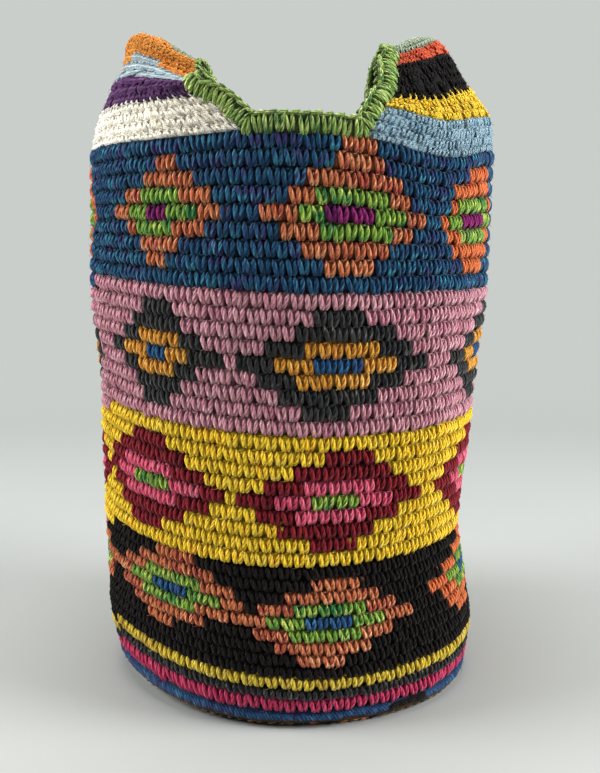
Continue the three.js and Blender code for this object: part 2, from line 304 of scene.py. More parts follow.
class YarnRack:
    """Makes one material for each yarn, from node groups that all of them share.

    Attributes:
        PLIES: Plies of a strand.
        TWIST: Plies that pass along a leg.
        SPIRAL: How the streaks of mixed fibres run, in periods round a strand and along it.
        STREAKS: Scale of the streaks across them, along a strand and from stitch to stitch.
        FLECKS: Noise over which mixed fibres show, how far their share lowers it, and how sharply.
        PATCHES: Scale of the stretches of drifted colour.
        DRIFTS: Noise over which the colour has drifted, how far its share lowers it, and how sharply.
        DYED: How much a stitch's tint adds to that noise.
        FIBRES: Scale of the fine fibres on a ply.
        RELIEF: Height of the plies and of the fibres on them.
        LEVEL: Ply height at which the painted ply shade neither lightens nor darkens.
        UNEVEN: How much lighter or darker one stitch may be than the next.
        DARK: Brightness of the painted shade where the yarn lies deepest.
        GROOVE: How strongly the grooves between plies are painted darker and their crowns painted lighter.
        BUMP: Strength and height in metres of the plies' relief.
        ROUGH: Roughness of the wool, and of the sheen on it.
        SHINE: Level of its reflections.
    """

    PLIES = 4.0
    TWIST = 3.2
    SPIRAL = (4.0, 2.6)
    STREAKS = (1.4, 1.8, 83.0)
    FLECKS = (0.82, 0.66, 8.0)
    PATCHES = 120.0
    DRIFTS = (0.89, 0.90, 5.0)
    DYED = 0.2
    FIBRES = 1500.0
    RELIEF = (0.65, 1.1)
    LEVEL = 0.94
    UNEVEN = 0.16
    DARK = 0.26
    GROOVE = 1.25
    BUMP = (0.8, 0.0006)
    ROUGH = (0.9, 0.5)
    SHINE = 0.1

    def __init__(self) -> None:
        """Build the shared groups."""
        self.materials: dict[Shade, bpy.types.Material] = {}
        self.fibre = self._fibre_group()
        self.ply = self._ply_group()
        self.painted_shade = self._painted_shade_group()

    @staticmethod
    def _group(name: str, inputs: Sequence[tuple[str, str]], output: tuple[str, str]) -> NodeSheet:
        """Start a node group.

        Args:
            name: Its name.
            inputs: Name and kind of each input socket.
            output: Name and kind of its output socket.

        Returns:
            A sheet on the group's tree.
        """
        tree = bpy.data.node_groups.new(name, "ShaderNodeTree")
        for label, kind in inputs:
            tree.interface.new_socket(label, in_out="INPUT", socket_type=f"NodeSocket{kind}")
        tree.interface.new_socket(output[0], in_out="OUTPUT", socket_type=f"NodeSocket{output[1]}")
        return NodeSheet(tree)

    def _fibre_group(self) -> bpy.types.NodeTree:
        """Colour of a yarn whose fibres are mixed and whose colour drifts.

        Returns:
            The group, with a Color output.
        """
        colours = [("Base", "Color"), ("Fleck", "Color"), ("Drift", "Color")]
        shares = [("Fleck Share", "Float"), ("Drift Share", "Float")]
        sheet = self._group("mixed_fibres", colours + shares, ("Color", "Color"))
        given = sheet.add("NodeGroupInput").outputs
        tint = sheet.add("ShaderNodeAttribute", attribute_name="tint").outputs[2]
        turned, along = sheet.strand()
        turns = sheet.math("MULTIPLY", turned, self.SPIRAL[0])
        twist = sheet.math("ADD", turns, sheet.math("MULTIPLY", along, self.SPIRAL[1]))
        streaked = zip((twist, along, tint), self.STREAKS)
        parts = [sheet.math("MULTIPLY", part, scale) for part, scale in streaked]
        place = sheet.add("ShaderNodeCombineXYZ", dict(enumerate(parts)))
        streaks = sheet.noise(place.outputs[0], 1.0, 2.0)
        fleck = sheet.over(streaks, given["Fleck Share"], self.FLECKS)
        slow = sheet.noise(sheet.add("ShaderNodeTexCoord").outputs["Object"], self.PATCHES, 1.0)
        spread = sheet.math("ADD", slow, sheet.math("MULTIPLY", tint, self.DYED))
        drift = sheet.over(spread, given["Drift Share"], self.DRIFTS)
        drifted = sheet.mix(drift, given["Base"], given["Drift"])
        flecked = sheet.mix(fleck, drifted, given["Fleck"])
        bright = sheet.math("ADD", 1.0, sheet.math("MULTIPLY", tint, self.UNEVEN))
        sheet.add("NodeGroupOutput", {0: sheet.shaded(flecked, bright)})
        return sheet.tree

    def _ply_group(self) -> bpy.types.NodeTree:
        """Height of the plies twisted round a strand, with fine fibres on them.

        Returns:
            The group, with a Height output.
        """
        sheet = self._group("ply_twist", [("Plies", "Float"), ("Twist", "Float")], ("Height", "Float"))
        given = sheet.add("NodeGroupInput").outputs
        turned, along = sheet.strand()
        turns = sheet.math("MULTIPLY", turned, given["Plies"])
        passed = sheet.math("MULTIPLY", along, given["Twist"])
        angle = sheet.math("MULTIPLY", sheet.math("ADD", turns, passed), math.pi)
        wave = sheet.math("ABSOLUTE", sheet.math("SINE", angle, 0.0), 0.0)
        fine = sheet.noise(sheet.add("ShaderNodeTexCoord").outputs["Object"], self.FIBRES, 3.0)
        plies = sheet.math("MULTIPLY", wave, self.RELIEF[0])
        fibres = sheet.math("MULTIPLY", fine, self.RELIEF[1])
        sheet.add("NodeGroupOutput", {0: sheet.math("ADD", plies, fibres)})
        return sheet.tree

    def _painted_shade_group(self) -> bpy.types.NodeTree:
        """Painted shade: darkens a colour where the yarn dives between its neighbours and in the grooves
        between its plies, and paints it lighter on the ply crowns and where the painted light passes 1.

        Returns:
            The group, with a Color output.
        """
        inputs = [("Color", "Color"), ("Dark", "Float"), ("Ply", "Float"), ("Groove", "Float")]
        sheet = self._group("painted_stitch_shade", inputs, ("Color", "Color"))
        given = sheet.add("NodeGroupInput").outputs
        # Painted light level of each corner: low for painted shade where the yarn lies deep, over 1 for
        # painted highlights.
        depth = sheet.add("ShaderNodeAttribute", attribute_name="depth").outputs[2]
        lift = sheet.math("SUBTRACT", 1.0, given["Dark"])
        bright = sheet.math("ADD", given["Dark"], sheet.math("MULTIPLY", depth, lift))
        # Painted shade in the grooves between plies, painted highlight on their crowns.
        painted_crease = sheet.math("MULTIPLY", sheet.math("SUBTRACT", given["Ply"], self.LEVEL), given["Groove"])
        bright = sheet.math("MULTIPLY", bright, sheet.math("ADD", 1.0, painted_crease))
        sheet.add("NodeGroupOutput", {0: sheet.shaded(given["Color"], bright)})
        return sheet.tree

    def material(self, shade: Shade) -> bpy.types.Material:
        """Material of a yarn, made once.

        Args:
            shade: Which yarn.

        Returns:
            Its material.
        """
        if shade in self.materials:
            return self.materials[shade]
        yarn = YARNS[shade]
        made = bpy.data.materials.new(f"{shade.name.lower()}_yarn")
        made.use_nodes = True
        sheet = NodeSheet(made.node_tree)
        fibre = sheet.add("ShaderNodeGroup", node_tree=self.fibre, inputs={
            "Base": linear(yarn.base), "Fleck": linear(yarn.fleck), "Drift": linear(yarn.drift),
            "Fleck Share": yarn.fleck_share, "Drift Share": yarn.drift_share})
        plies = {"Plies": self.PLIES, "Twist": self.TWIST}
        ply = sheet.add("ShaderNodeGroup", node_tree=self.ply, inputs=plies)
        # Painted shade of the hollows and ply grooves multiplies the yarn's colour.
        painted_shade = sheet.add("ShaderNodeGroup", node_tree=self.painted_shade, inputs={
            "Color": fibre.outputs[0], "Ply": ply.outputs[0], "Dark": self.DARK, "Groove": self.GROOVE})
        relief = {"Strength": self.BUMP[0], "Distance": self.BUMP[1], "Height": ply.outputs[0]}
        bump = sheet.add("ShaderNodeBump", relief)
        surface = sheet.add("ShaderNodeBsdfPrincipled", {
            "Base Color": painted_shade.outputs[0], "Normal": bump.outputs[0], "Roughness": self.ROUGH[0],
            "Specular IOR Level": self.SHINE, "Sheen Weight": yarn.halo, "Sheen Roughness": self.ROUGH[1]})
        sheet.add("ShaderNodeOutputMaterial", {"Surface": surface.outputs[0]})
        self.materials[shade] = made
        return made


@dataclass(frozen=True)
class StitchSize:
    """Sizes of a crochet stitch.

    Attributes:
        width: Width of the stitch that the strands are drawn in.
        height: Height of its round.
        leg: Half thickness of a leg.
        tuft: Half thickness of the loop that shows over the legs.
        rope: Half thickness of the cord round the base.
        painted_shade: Depth under the outer face at which the painted shade on the yarn is darkest.
    """

    width: float = 6.0
    height: float = 7.2
    leg: float = 1.24
    tuft: float = 0.95
    rope: float = 3.0
    painted_shade: float = 2.6


STITCH = StitchSize()


@dataclass(frozen=True)
class Strand:
    """One closed length of yarn in a stitch's own coordinates.

    Attributes:
        points: Corners, one row of a, b and c each.
        quads: Four-sided faces.
        tips: Three-sided faces at both ends.
        quad_wrap: Place of each quad's corners round and along the yarn.
        tip_wrap: The same for the end faces.
        depth: How far each corner lies out of the fabric, from 0 to 1, which sets its painted shade.
        turns: How much more its plies turn than those of a leg.
    """

    points: Array
    quads: Array
    tips: Array
    quad_wrap: Array
    tip_wrap: Array
    depth: Array
    turns: float

    @classmethod
    def along(
        cls, path: Sequence[Spot], girth: Sequence[float], sides: int, flat: float = 0.92, turns: float = 1.0
    ) -> "Strand":
        """Make a strand along a path.

        Args:
            path: Places in a, b and c. The first and last are the pointed ends.
            girth: Half thickness in millimetres at each place between the ends.
            sides: Sides of the strand.
            flat: Thickness out of the fabric, as a share of that along it.
            turns: How much more its plies turn than those of a leg.

        Returns:
            The strand.
        """
        scale = np.array([STITCH.width, STITCH.height, 1.0])
        line = np.array(path) * scale
        tangent = np.gradient(line, axis=0)
        tangent /= np.linalg.norm(tangent, axis=1, keepdims=True)
        side = np.cross(tangent, [0.0, 0.0, 1.0])
        side /= np.linalg.norm(side, axis=1, keepdims=True)
        out = np.cross(side, tangent)
        turn = np.arange(sides) * 2.0 * np.pi / sides
        ring = np.cos(turn)[:, None, None] * side[1:-1] + flat * np.sin(turn)[:, None, None] * out[1:-1]
        ring = line[1:-1] + ring * np.array(girth)[:, None]
        rings = len(girth)
        body = ring.transpose(1, 0, 2).reshape(-1, 3)
        points = np.vstack([line[:1], body, line[-1:]]) / scale
        last = len(points) - 1
        quads, tips, quad_wrap, tip_wrap = [], [], [], []
        for s in range(sides):
            ahead = (s + 1) % sides
            left, right = s / sides, (s + 1) / sides
            for k in range(rings - 1):
                here, above = 1 + k * sides, 1 + (k + 1) * sides
                low, high = (k + 1) / (rings + 1), (k + 2) / (rings + 1)
                quads.append([here + s, above + s, above + ahead, here + ahead])
                quad_wrap.append([[left, low], [left, high], [right, high], [right, low]])
            top = 1 + (rings - 1) * sides
            low, high = 1 / (rings + 1), rings / (rings + 1)
            middle = (left + right) / 2
            tips.append([0, 1 + s, 1 + ahead])
            tip_wrap.append([[middle, 0.0], [left, low], [right, low]])
            tips.append([last, top + ahead, top + s])
            tip_wrap.append([[middle, 1.0], [right, high], [left, high]])
        # Painted shade: corners that lie deeper in the fabric are painted darker.
        depth = np.clip((points[:, 2] + STITCH.painted_shade) / STITCH.painted_shade, 0.0, 1.0)
        arrays = [np.array(part) for part in (quads, tips, quad_wrap, tip_wrap)]
        return cls(points, *arrays, depth, turns)


class Crochet:
    """The strands that a stitch is made of.

    Attributes:
        WISPS: How many kinds of loose fibre there are.
        THIN: Thickness of an ear's strand, as a share of a leg's.
        LIT: Depth of the loose fibres, which no hollow darkens.
    """

    WISPS = 11
    THIN = 0.60
    # LIT: Painted light of the loose fibres, over 1, so that they are painted lighter than their yarn as a
    # painted sheen.
    LIT = 1.7

    def __init__(self, size: StitchSize) -> None:
        """Draw the strands at a stitch's size.

        Args:
            size: Thicknesses of its strands.
        """
        leg, tuft = size.leg, size.tuft
        legs = [leg, 1.08 * leg, 1.04 * leg, 0.95 * leg, 0.70 * leg]
        self.left_leg = Strand.along(
            [(-0.02, -0.04, -3.0), (-0.10, 0.05, -1.6), (-0.17, 0.20, -0.75), (-0.25, 0.42, -0.35),
             (-0.32, 0.66, -0.55), (-0.37, 0.87, -1.3), (-0.43, 1.10, -2.6)], legs, 5, 0.9)
        self.right_leg = Strand.along(
            [(0.16, -0.03, -3.2), (0.20, 0.07, -1.8), (0.22, 0.22, -1.0), (0.25, 0.42, -0.6),
             (0.26, 0.64, -0.8), (0.26, 0.85, -1.5), (0.28, 1.08, -2.8)], legs, 5, 0.9)
        self.tuft = Strand.along(
            [(-0.46, 0.84, -3.2), (-0.20, 0.88, -2.15), (0.02, 0.94, -1.85), (0.24, 1.02, -2.15),
             (0.44, 1.12, -3.2)], [0.85 * tuft, 0.97 * tuft, 0.75 * tuft], 4)
        rope = size.rope
        self.cord = Strand.along(
            [(-1.15, 0.12, -4.4), (-0.75, 0.18, -2.9), (-0.20, 0.22, -2.2), (0.40, 0.26, -2.2),
             (0.90, 0.30, -2.9), (1.25, 0.36, -4.4)], [0.8 * rope, rope, rope, 0.8 * rope], 6, turns=3.6)
        self.chain = Strand.along(
            [(-0.62, 0.30, -2.4), (-0.36, 0.36, -1.2), (-0.05, 0.46, -0.7), (0.28, 0.58, -0.8),
             (0.56, 0.68, -1.3), (0.80, 0.74, -2.5)], [0.85 * leg, leg, leg, 0.85 * leg], 5)

        bare = [leg, 1.06 * leg, 0.90 * leg]
        self.bare_left = Strand.along(
            [(-0.02, -0.04, -3.0), (-0.14, 0.13, -1.0), (-0.25, 0.42, -0.35), (-0.34, 0.75, -0.8),
             (-0.43, 1.10, -2.6)], bare, 4, 0.9)
        self.bare_right = Strand.along(
            [(0.16, -0.03, -3.2), (0.21, 0.14, -1.3), (0.25, 0.42, -0.6), (0.26, 0.73, -1.0),
             (0.28, 1.08, -2.8)], bare, 4, 0.9)
        self.fine = self._fine(size)
        self.spike = Strand.along(
            [(0.00, 0.45, -1.8), (0.00, 0.75, -0.3), (0.00, 1.05, 0.1), (0.00, 1.30, -0.1),
             (0.00, 1.62, -0.9)], [0.70 * leg, 0.72 * leg, 0.46 * leg], 4)
        self.wisps = self._wisps()

    def _fine(self, size: StitchSize) -> list[Strand]:
        """Thin strands of the ears' looser stitches, two to a leg, and the bump over them.

        Args:
            size: Sizes of a stitch.

        Returns:
            The strands.
        """
        thin = self.THIN * size.leg
        legs = (
            [(-0.02, -0.08, -2.4), (-0.14, 0.12, -0.9), (-0.25, 0.42, -0.35), (-0.34, 0.76, -0.6),
             (-0.42, 1.12, -1.9)],
            [(0.05, -0.02, -2.6), (-0.02, 0.20, -1.1), (-0.10, 0.50, -0.6), (-0.20, 0.82, -0.7),
             (-0.28, 1.15, -2.0)],
            [(0.10, -0.06, -2.6), (0.17, 0.14, -1.0), (0.22, 0.44, -0.5), (0.27, 0.78, -0.7),
             (0.30, 1.12, -2.0)],
            [(0.20, -0.04, -2.8), (0.30, 0.16, -1.3), (0.37, 0.46, -0.8), (0.42, 0.80, -0.9),
             (0.44, 1.10, -2.1)],
        )
        made = [Strand.along(leg, [0.86 * thin, thin, 0.84 * thin], 4) for leg in legs]
        bump = [(-0.20, 0.84, -2.4), (-0.10, 0.93, -0.9), (0.00, 0.98, -0.5), (0.10, 1.03, -0.9),
                (0.20, 1.12, -2.4)]
        made.append(Strand.along(bump, [0.8 * size.tuft, size.tuft, 0.8 * size.tuft], 4))
        return made

    def ear(self, lit: float) -> list[Strand]:
        """Strands of an ear's stitch.

        Args:
            lit: Gain on the strands' painted light: under 1 they are painted darker, over 1 painted lighter.

        Returns:
            The strands.
        """
        # An ear's strands keep a weaker painted shade, scaled by lit.
        return [replace(strand, depth=lit * (0.4 + 0.6 * strand.depth)) for strand in self.fine]

    def _wisps(self) -> list[Strand]:
        """Loose fibres that stand out of the yarn, each one bent another way.

        Returns:
            The fibres.
        """
        rng = np.random.default_rng(SEED)
        made = []
        for _ in range(self.WISPS):
            a, b = rng.uniform(-0.34, 0.34), rng.uniform(0.1, 0.85)
            along, up, out = rng.uniform(-0.6, 0.6), rng.uniform(-0.45, 0.45), rng.uniform(0.5, 1.5)
            share = np.array([0.0, 0.3, 0.7, 1.0])
            bend = 0.25 * np.sin(np.pi * share) * rng.uniform(-1.0, 1.0)
            path = np.stack([a + along * share, b + up * share + bend, out * share ** 0.7 - 0.1], axis=1)
            path[0, 2] = -0.9
            wisp = Strand.along(path, [0.11, 0.09], 3)
            # Painted highlight: the loose fibres' colour is painted lighter than their yarn.
            made.append(replace(wisp, depth=np.full(len(wisp.depth), self.LIT)))
        return made

    def stitch(self) -> list[Strand]:
        """Both legs of a stitch and the loop over them."""
        return [self.left_leg, self.right_leg, self.tuft]

    def plain(self) -> list[Strand]:
        """Both legs alone, for a row along an edge."""
        return [self.left_leg, self.right_leg]

    def bare(self) -> list[Strand]:
        """Both legs in few faces, for fabric that lies out of sight."""
        return [self.bare_left, self.bare_right]


@dataclass
class Stitches:
    """Places of many stitches on one surface.

    Attributes:
        x: Middle of each stitch, along its round.
        y: Foot of each stitch, up the fabric.
        dx: Width of each stitch.
        dy: Height of each stitch.
        shade: Yarn of each stitch.
        nudge: Small shifts in a, b and c, a slant and a tint for each stitch.
        SPREAD: Usual size of those shifts and of the slant.
    """

    x: Array
    y: Array
    dx: Array
    dy: Array
    shade: Array
    nudge: Array

    SPREAD = (0.04, 0.03, 0.15, 0.09)

    @classmethod
    def placed(
        cls, x: Array, y: Array, dx: object, dy: object, shade: object, seed: int, loose: float = 1.0
    ) -> "Stitches":
        """Place stitches with the small unevenness of handwork.

        Args:
            x: Middle of each stitch.
            y: Foot of each stitch.
            dx: Width of a stitch, one value or one each.
            dy: Height of a stitch.
            shade: Yarn, one value or one each.
            seed: Seed of the unevenness.
            loose: How uneven they are, against the usual.

        Returns:
            The stitches.
        """
        count = len(x)
        rng = np.random.default_rng(SEED + seed)
        spread = np.array([*(loose * np.array(cls.SPREAD)), 1.0])
        nudge = rng.normal(0.0, 1.0, (count, 5)) * spread
        wide = np.broadcast_to(np.asarray(dx, float), count)
        tall = np.broadcast_to(np.asarray(dy, float), count)
        yarn = np.broadcast_to(np.asarray(shade, int), count)
        return cls(x, y, wide, tall, yarn, nudge)

    def every(self, step: int, first: int) -> "Stitches":
        """Some of the stitches.

        Args:
            step: How many steps lie from one to the next.
            first: Number of the first one.

        Returns:
            Those stitches.
        """
        part = slice(first, None, step)
        values = (self.x, self.y, self.dx, self.dy, self.shade, self.nudge)
        return Stitches(*(value[part] for value in values))


@dataclass
class Patch:
    """Faces gathered for a mesh, all with the same number of corners.

    Attributes:
        faces: Numbers of their corners.
        wrap: Place of each corner round and along its strand.
        bake: Place of each corner in its cell of the bake map, and the cell's number.
        shade: Yarn of each face.
    """

    faces: list[Array] = field(default_factory=list)
    wrap: list[Array] = field(default_factory=list)
    bake: list[Array] = field(default_factory=list)
    shade: list[Array] = field(default_factory=list)


class Fabric:
    """Gathers strands and backing, and makes one object of them.

    Attributes:
        BACKING_SHARE: Share of the bake map that the backing takes.
        MARGIN: Margin in a strand's cell of that map.
        TINTED: How much of a stitch's draw becomes its tint.
    """

    BACKING_SHARE = 0.12
    MARGIN = 0.08
    TINTED = 0.4

    def __init__(self, name: str) -> None:
        """Start an empty piece.

        Args:
            name: Name of the object it becomes.
        """
        self.name = name
        self.points: list[Array] = []
        self.tint: list[Array] = []
        self.depth: list[Array] = []
        self.patches = {4: Patch(), 3: Patch()}
        self.count = 0
        self.strands = 0

    def _corners(self, points: Array, tint: Array, depth: Array) -> int:
        """Add corners.

        Args:
            points: Their places.
            tint: Their tint.
            depth: Their painted light, which sets their painted shade.

        Returns:
            Number of the first one.
        """
        first = self.count
        self.points.append(points)
        self.tint.append(tint)
        self.depth.append(depth)
        self.count += len(points)
        return first

    def lay(self, strand: Strand, surface: Surface, at: Stitches) -> None:
        """Lay one strand in each of many stitches.

        Args:
            strand: The strand.
            surface: The surface that the stitches lie on.
            at: Where they lie.
        """
        a, b, c = strand.points.T
        count, size = len(at.x), len(a)
        slant = at.nudge[:, 3, None] * (b - 0.5)
        x = at.x[:, None] + at.dx[:, None] * (a + at.nudge[:, 0, None] + slant)
        y = at.y[:, None] + at.dy[:, None] * (b + at.nudge[:, 1, None])
        out = c + at.nudge[:, 2, None]
        points = surface(x, y, out).reshape(-1, 3)
        tint = np.repeat(np.clip(at.nudge[:, 4] * self.TINTED, -1.0, 1.0), size)
        first = self._corners(points, tint, np.tile(strand.depth, count))
        start = first + np.arange(count) * size
        cell = self.strands + np.arange(count)
        self.strands += count
        for faces, wrap in ((strand.quads, strand.quad_wrap), (strand.tips, strand.tip_wrap)):
            patch = self.patches[faces.shape[1]]
            patch.faces.append((start[:, None, None] + faces).reshape(-1, faces.shape[1]))
            patch.wrap.append(np.tile(wrap * np.array([1.0, strand.turns]), (count, 1, 1)))
            cells = np.repeat(cell, len(faces))
            patch.bake.append(np.concatenate([np.tile(wrap, (count, 1, 1)), np.broadcast_to(
                cells[:, None, None], (len(cells), wrap.shape[1], 1))], axis=2))
            patch.shade.append(np.repeat(at.shade, len(faces)))

    def fuzz(self, wisps: Sequence[Strand], surface: Surface, at: Stitches) -> None:
        """Lay one loose fibre on each stitch.

        Args:
            wisps: The fibres, which are taken in turn.
            surface: The surface that the stitches lie on.
            at: Where they lie.
        """
        for number, wisp in enumerate(wisps):
            self.lay(wisp, surface, at.every(len(wisps), number))

    def backing(self, grid: Array, shade: Array, depth: Array, closed: bool) -> None:
        """Add the fabric under the strands, as a closed band of faces.

        Args:
            grid: Corners, in columns along the round and a closed loop across the fabric.
            shade: Yarn of each face.
            depth: Painted light of each corner of the loop, which sets its painted shade.
            closed: Whether the last column meets the first.
        """
        columns, loop = grid.shape[:2]
        first = self._corners(grid.reshape(-1, 3), np.zeros(columns * loop), np.tile(depth, columns))
        number = first + np.arange(columns * loop).reshape(columns, loop)
        steps = columns if closed else columns - 1
        here = np.arange(steps)
        near, far = number[here], number[(here + 1) % columns]
        faces = np.stack([near, far, np.roll(far, -1, axis=1), np.roll(near, -1, axis=1)], axis=2)
        left = (here / steps)[:, None] + np.zeros(loop)
        low = np.zeros(steps)[:, None] + np.arange(loop) / loop
        right, high = left + 1.0 / steps, low + 1.0 / loop
        bake = np.stack([left, low, right, low, right, high, left, high], axis=2).reshape(steps, loop, 4, 2)
        patch = self.patches[4]
        patch.faces.append(faces.reshape(-1, 4))
        spot = np.array([[[0.0, 0.0], [0.0, 1.0], [0.3, 1.0], [0.3, 0.0]]])
        patch.wrap.append(np.tile(spot, (steps * loop, 1, 1)))
        cells = np.full((steps * loop, 4, 1), -1.0)
        patch.bake.append(np.concatenate([bake.reshape(-1, 4, 2), cells], axis=2))
        patch.shade.append(shade.reshape(-1))
        if not closed:
            self._caps(number, shade)

    def _caps(self, number: Array, shade: Array) -> None:
        """Close both ends of an open band.

        Args:
            number: Numbers of the corners, by column and place in the loop.
            shade: Yarn of each face of the band.
        """
        loop = number.shape[1]
        half = loop // 2
        patch = self.patches[4]
        for column, turned, yarn in ((number[0], False, shade[0]), (number[-1], True, shade[-1])):
            for j in range(half - 1):
                face = [column[j], column[j + 1], column[loop - 2 - j], column[loop - 1 - j]]
                face = face[::-1] if turned else face
                patch.faces.append(np.array([face]))
                spot = np.array([[[0.0, 0.0], [0.0, 1.0], [1.0, 1.0], [1.0, 0.0]]]) * 0.01
                patch.wrap.append(spot)
                patch.bake.append(np.concatenate([spot, np.full((1, 4, 1), -1.0)], axis=2))
                patch.shade.append(np.array([yarn[j]]))

    def _bake_place(self, bake: Array) -> Array:
        """Give each strand its own cell of the bake map, and the backing the strip above.

        Args:
            bake: Place in the cell and the cell's number for each corner, -1 on the backing.

        Returns:
            Place in the map for each corner.
        """
        tall = 1.0 - self.BACKING_SHARE
        across = max(1, math.ceil(math.sqrt(max(self.strands, 1) / tall)))
        up = max(1, math.ceil(max(self.strands, 1) / across))
        cell = bake[:, 2]
        inside = self.MARGIN + (1.0 - 2.0 * self.MARGIN) * bake[:, :2]
        spot = np.empty((len(bake), 2))
        spot[:, 0] = (cell % across + inside[:, 0]) / across
        spot[:, 1] = tall * (cell // across + inside[:, 1]) / up
        under = cell < 0
        spot[under, 0] = 0.002 + 0.996 * bake[under, 0]
        spot[under, 1] = tall + self.BACKING_SHARE * (0.02 + 0.96 * bake[under, 1])
        return spot

    def make(self, rack: YarnRack, nodes: Sequence[str]) -> bpy.types.Object:
        """Make the object, dress it and set it in the place of its solids.

        Args:
            rack: Where the yarns come from.
            nodes: Solids that it stands for.

        Returns:
            The object.
        """
        points = np.concatenate(self.points) * MM
        corners, wraps, bakes, shades, sizes = [], [], [], [], []
        for size, patch in self.patches.items():
            if patch.faces:
                faces = np.concatenate(patch.faces)
                corners.append(faces.reshape(-1))
                wraps.append(np.concatenate(patch.wrap).reshape(-1, 2))
                bakes.append(np.concatenate(patch.bake).reshape(-1, 3))
                shades.append(np.concatenate(patch.shade))
                sizes.append(np.full(len(faces), size))
        corner, size, shade = np.concatenate(corners), np.concatenate(sizes), np.concatenate(shades)
        mesh = bpy.data.meshes.new(self.name)
        mesh.vertices.add(len(points))
        mesh.vertices.foreach_set("co", points.astype(np.float32).reshape(-1))
        mesh.loops.add(len(corner))
        mesh.loops.foreach_set("vertex_index", corner.astype(np.int32))
        mesh.polygons.add(len(size))
        mesh.polygons.foreach_set("loop_start", (np.cumsum(size) - size).astype(np.int32))
        used = np.unique(shade)
        mesh.polygons.foreach_set("material_index", np.searchsorted(used, shade).astype(np.int32))
        mesh.polygons.foreach_set("use_smooth", np.ones(len(size), bool))
        for value in used:
            mesh.materials.append(rack.material(Shade(int(value))))
        bake = mesh.uv_layers.new(name="OFBake")
        bake.data.foreach_set("uv", self._bake_place(np.concatenate(bakes)).astype(np.float32).reshape(-1))
        strand = mesh.uv_layers.new(name="Strand")
        strand.data.foreach_set("uv", np.concatenate(wraps).astype(np.float32).reshape(-1))
        for label, values in (("tint", self.tint), ("depth", self.depth)):
            layer = mesh.attributes.new(label, "FLOAT", "POINT")
            layer.data.foreach_set("value", np.concatenate(values).astype(np.float32))
        mesh.update(calc_edges=True)
        mesh.validate()
        made = bpy.data.objects.new(self.name, mesh)
        bpy.context.scene.collection.objects.link(made)
        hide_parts(*nodes)
        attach(made, BODY)
        LOG.info("%s: %d faces, %d strands", self.name, len(size), self.strands)
        return made


@dataclass(frozen=True)
class Swell:
    """A stretch of the wall that stands higher or lower than it was worked.

    Attributes:
        rise: How far it stands higher.
        turn: Its middle, from the front towards the right, in degrees.
        spread: How far round it reaches, in degrees.
        heights: Heights where its share is known.
        shares: Its share at each of them.
    """

    rise: float
    turn: float
    spread: float
    heights: tuple[float, ...]
    shares: tuple[float, ...]

    def lift(self, turn: Array, z: Array) -> Array:
        """How much higher a place stands.

        Args:
            turn: Place round the bag, in degrees from the front.
            z: Height over the floor.

        Returns:
            The lift.
        """
        off = (turn - self.turn + 180.0) % 360.0 - 180.0
        return self.rise * np.exp(-((off / self.spread) ** 2)) * np.interp(z, self.heights, self.shares)


SWELLS = (
    Swell(-7.5, 42.0, 20.0, (230.0, 290.0, 320.0, 345.0, 352.0), (0.0, 1.0, 1.0, 0.3, 0.2)),
    Swell(4.5, -65.0, 36.0, (0.0, 20.0, 31.0, 86.0, 152.0, 220.0, 280.0),
          (1.3, 1.25, 1.2, 1.0, 0.9, 0.6, 0.0)),
    Swell(-2.6, 18.0, 34.0, (4.0, 31.0, 86.0, 152.0, 220.0), (0.0, 1.0, 0.45, 0.3, 0.0)),
    Swell(2.4, -2.0, 26.0, (240.0, 289.0, 300.0, 315.0), (0.0, 1.0, 1.0, 0.0)),
)


@dataclass(frozen=True)
class Slump:
    """A place where a soft ear has slumped from its plain form.

    Attributes:
        middle: Its middle.
        reach: How far it reaches along each axis.
        move: How far it has moved.
    """

    middle: Spot
    reach: Spot
    move: Spot

    def shift(self, points: Array) -> Array:
        """How far each of some points has moved.

        Args:
            points: Places on the plain form.

        Returns:
            The move of each.
        """
        apart = (points - np.array(self.middle)) / np.array(self.reach)
        return np.exp(-np.sum(apart * apart, axis=-1))[..., None] * np.array(self.move)


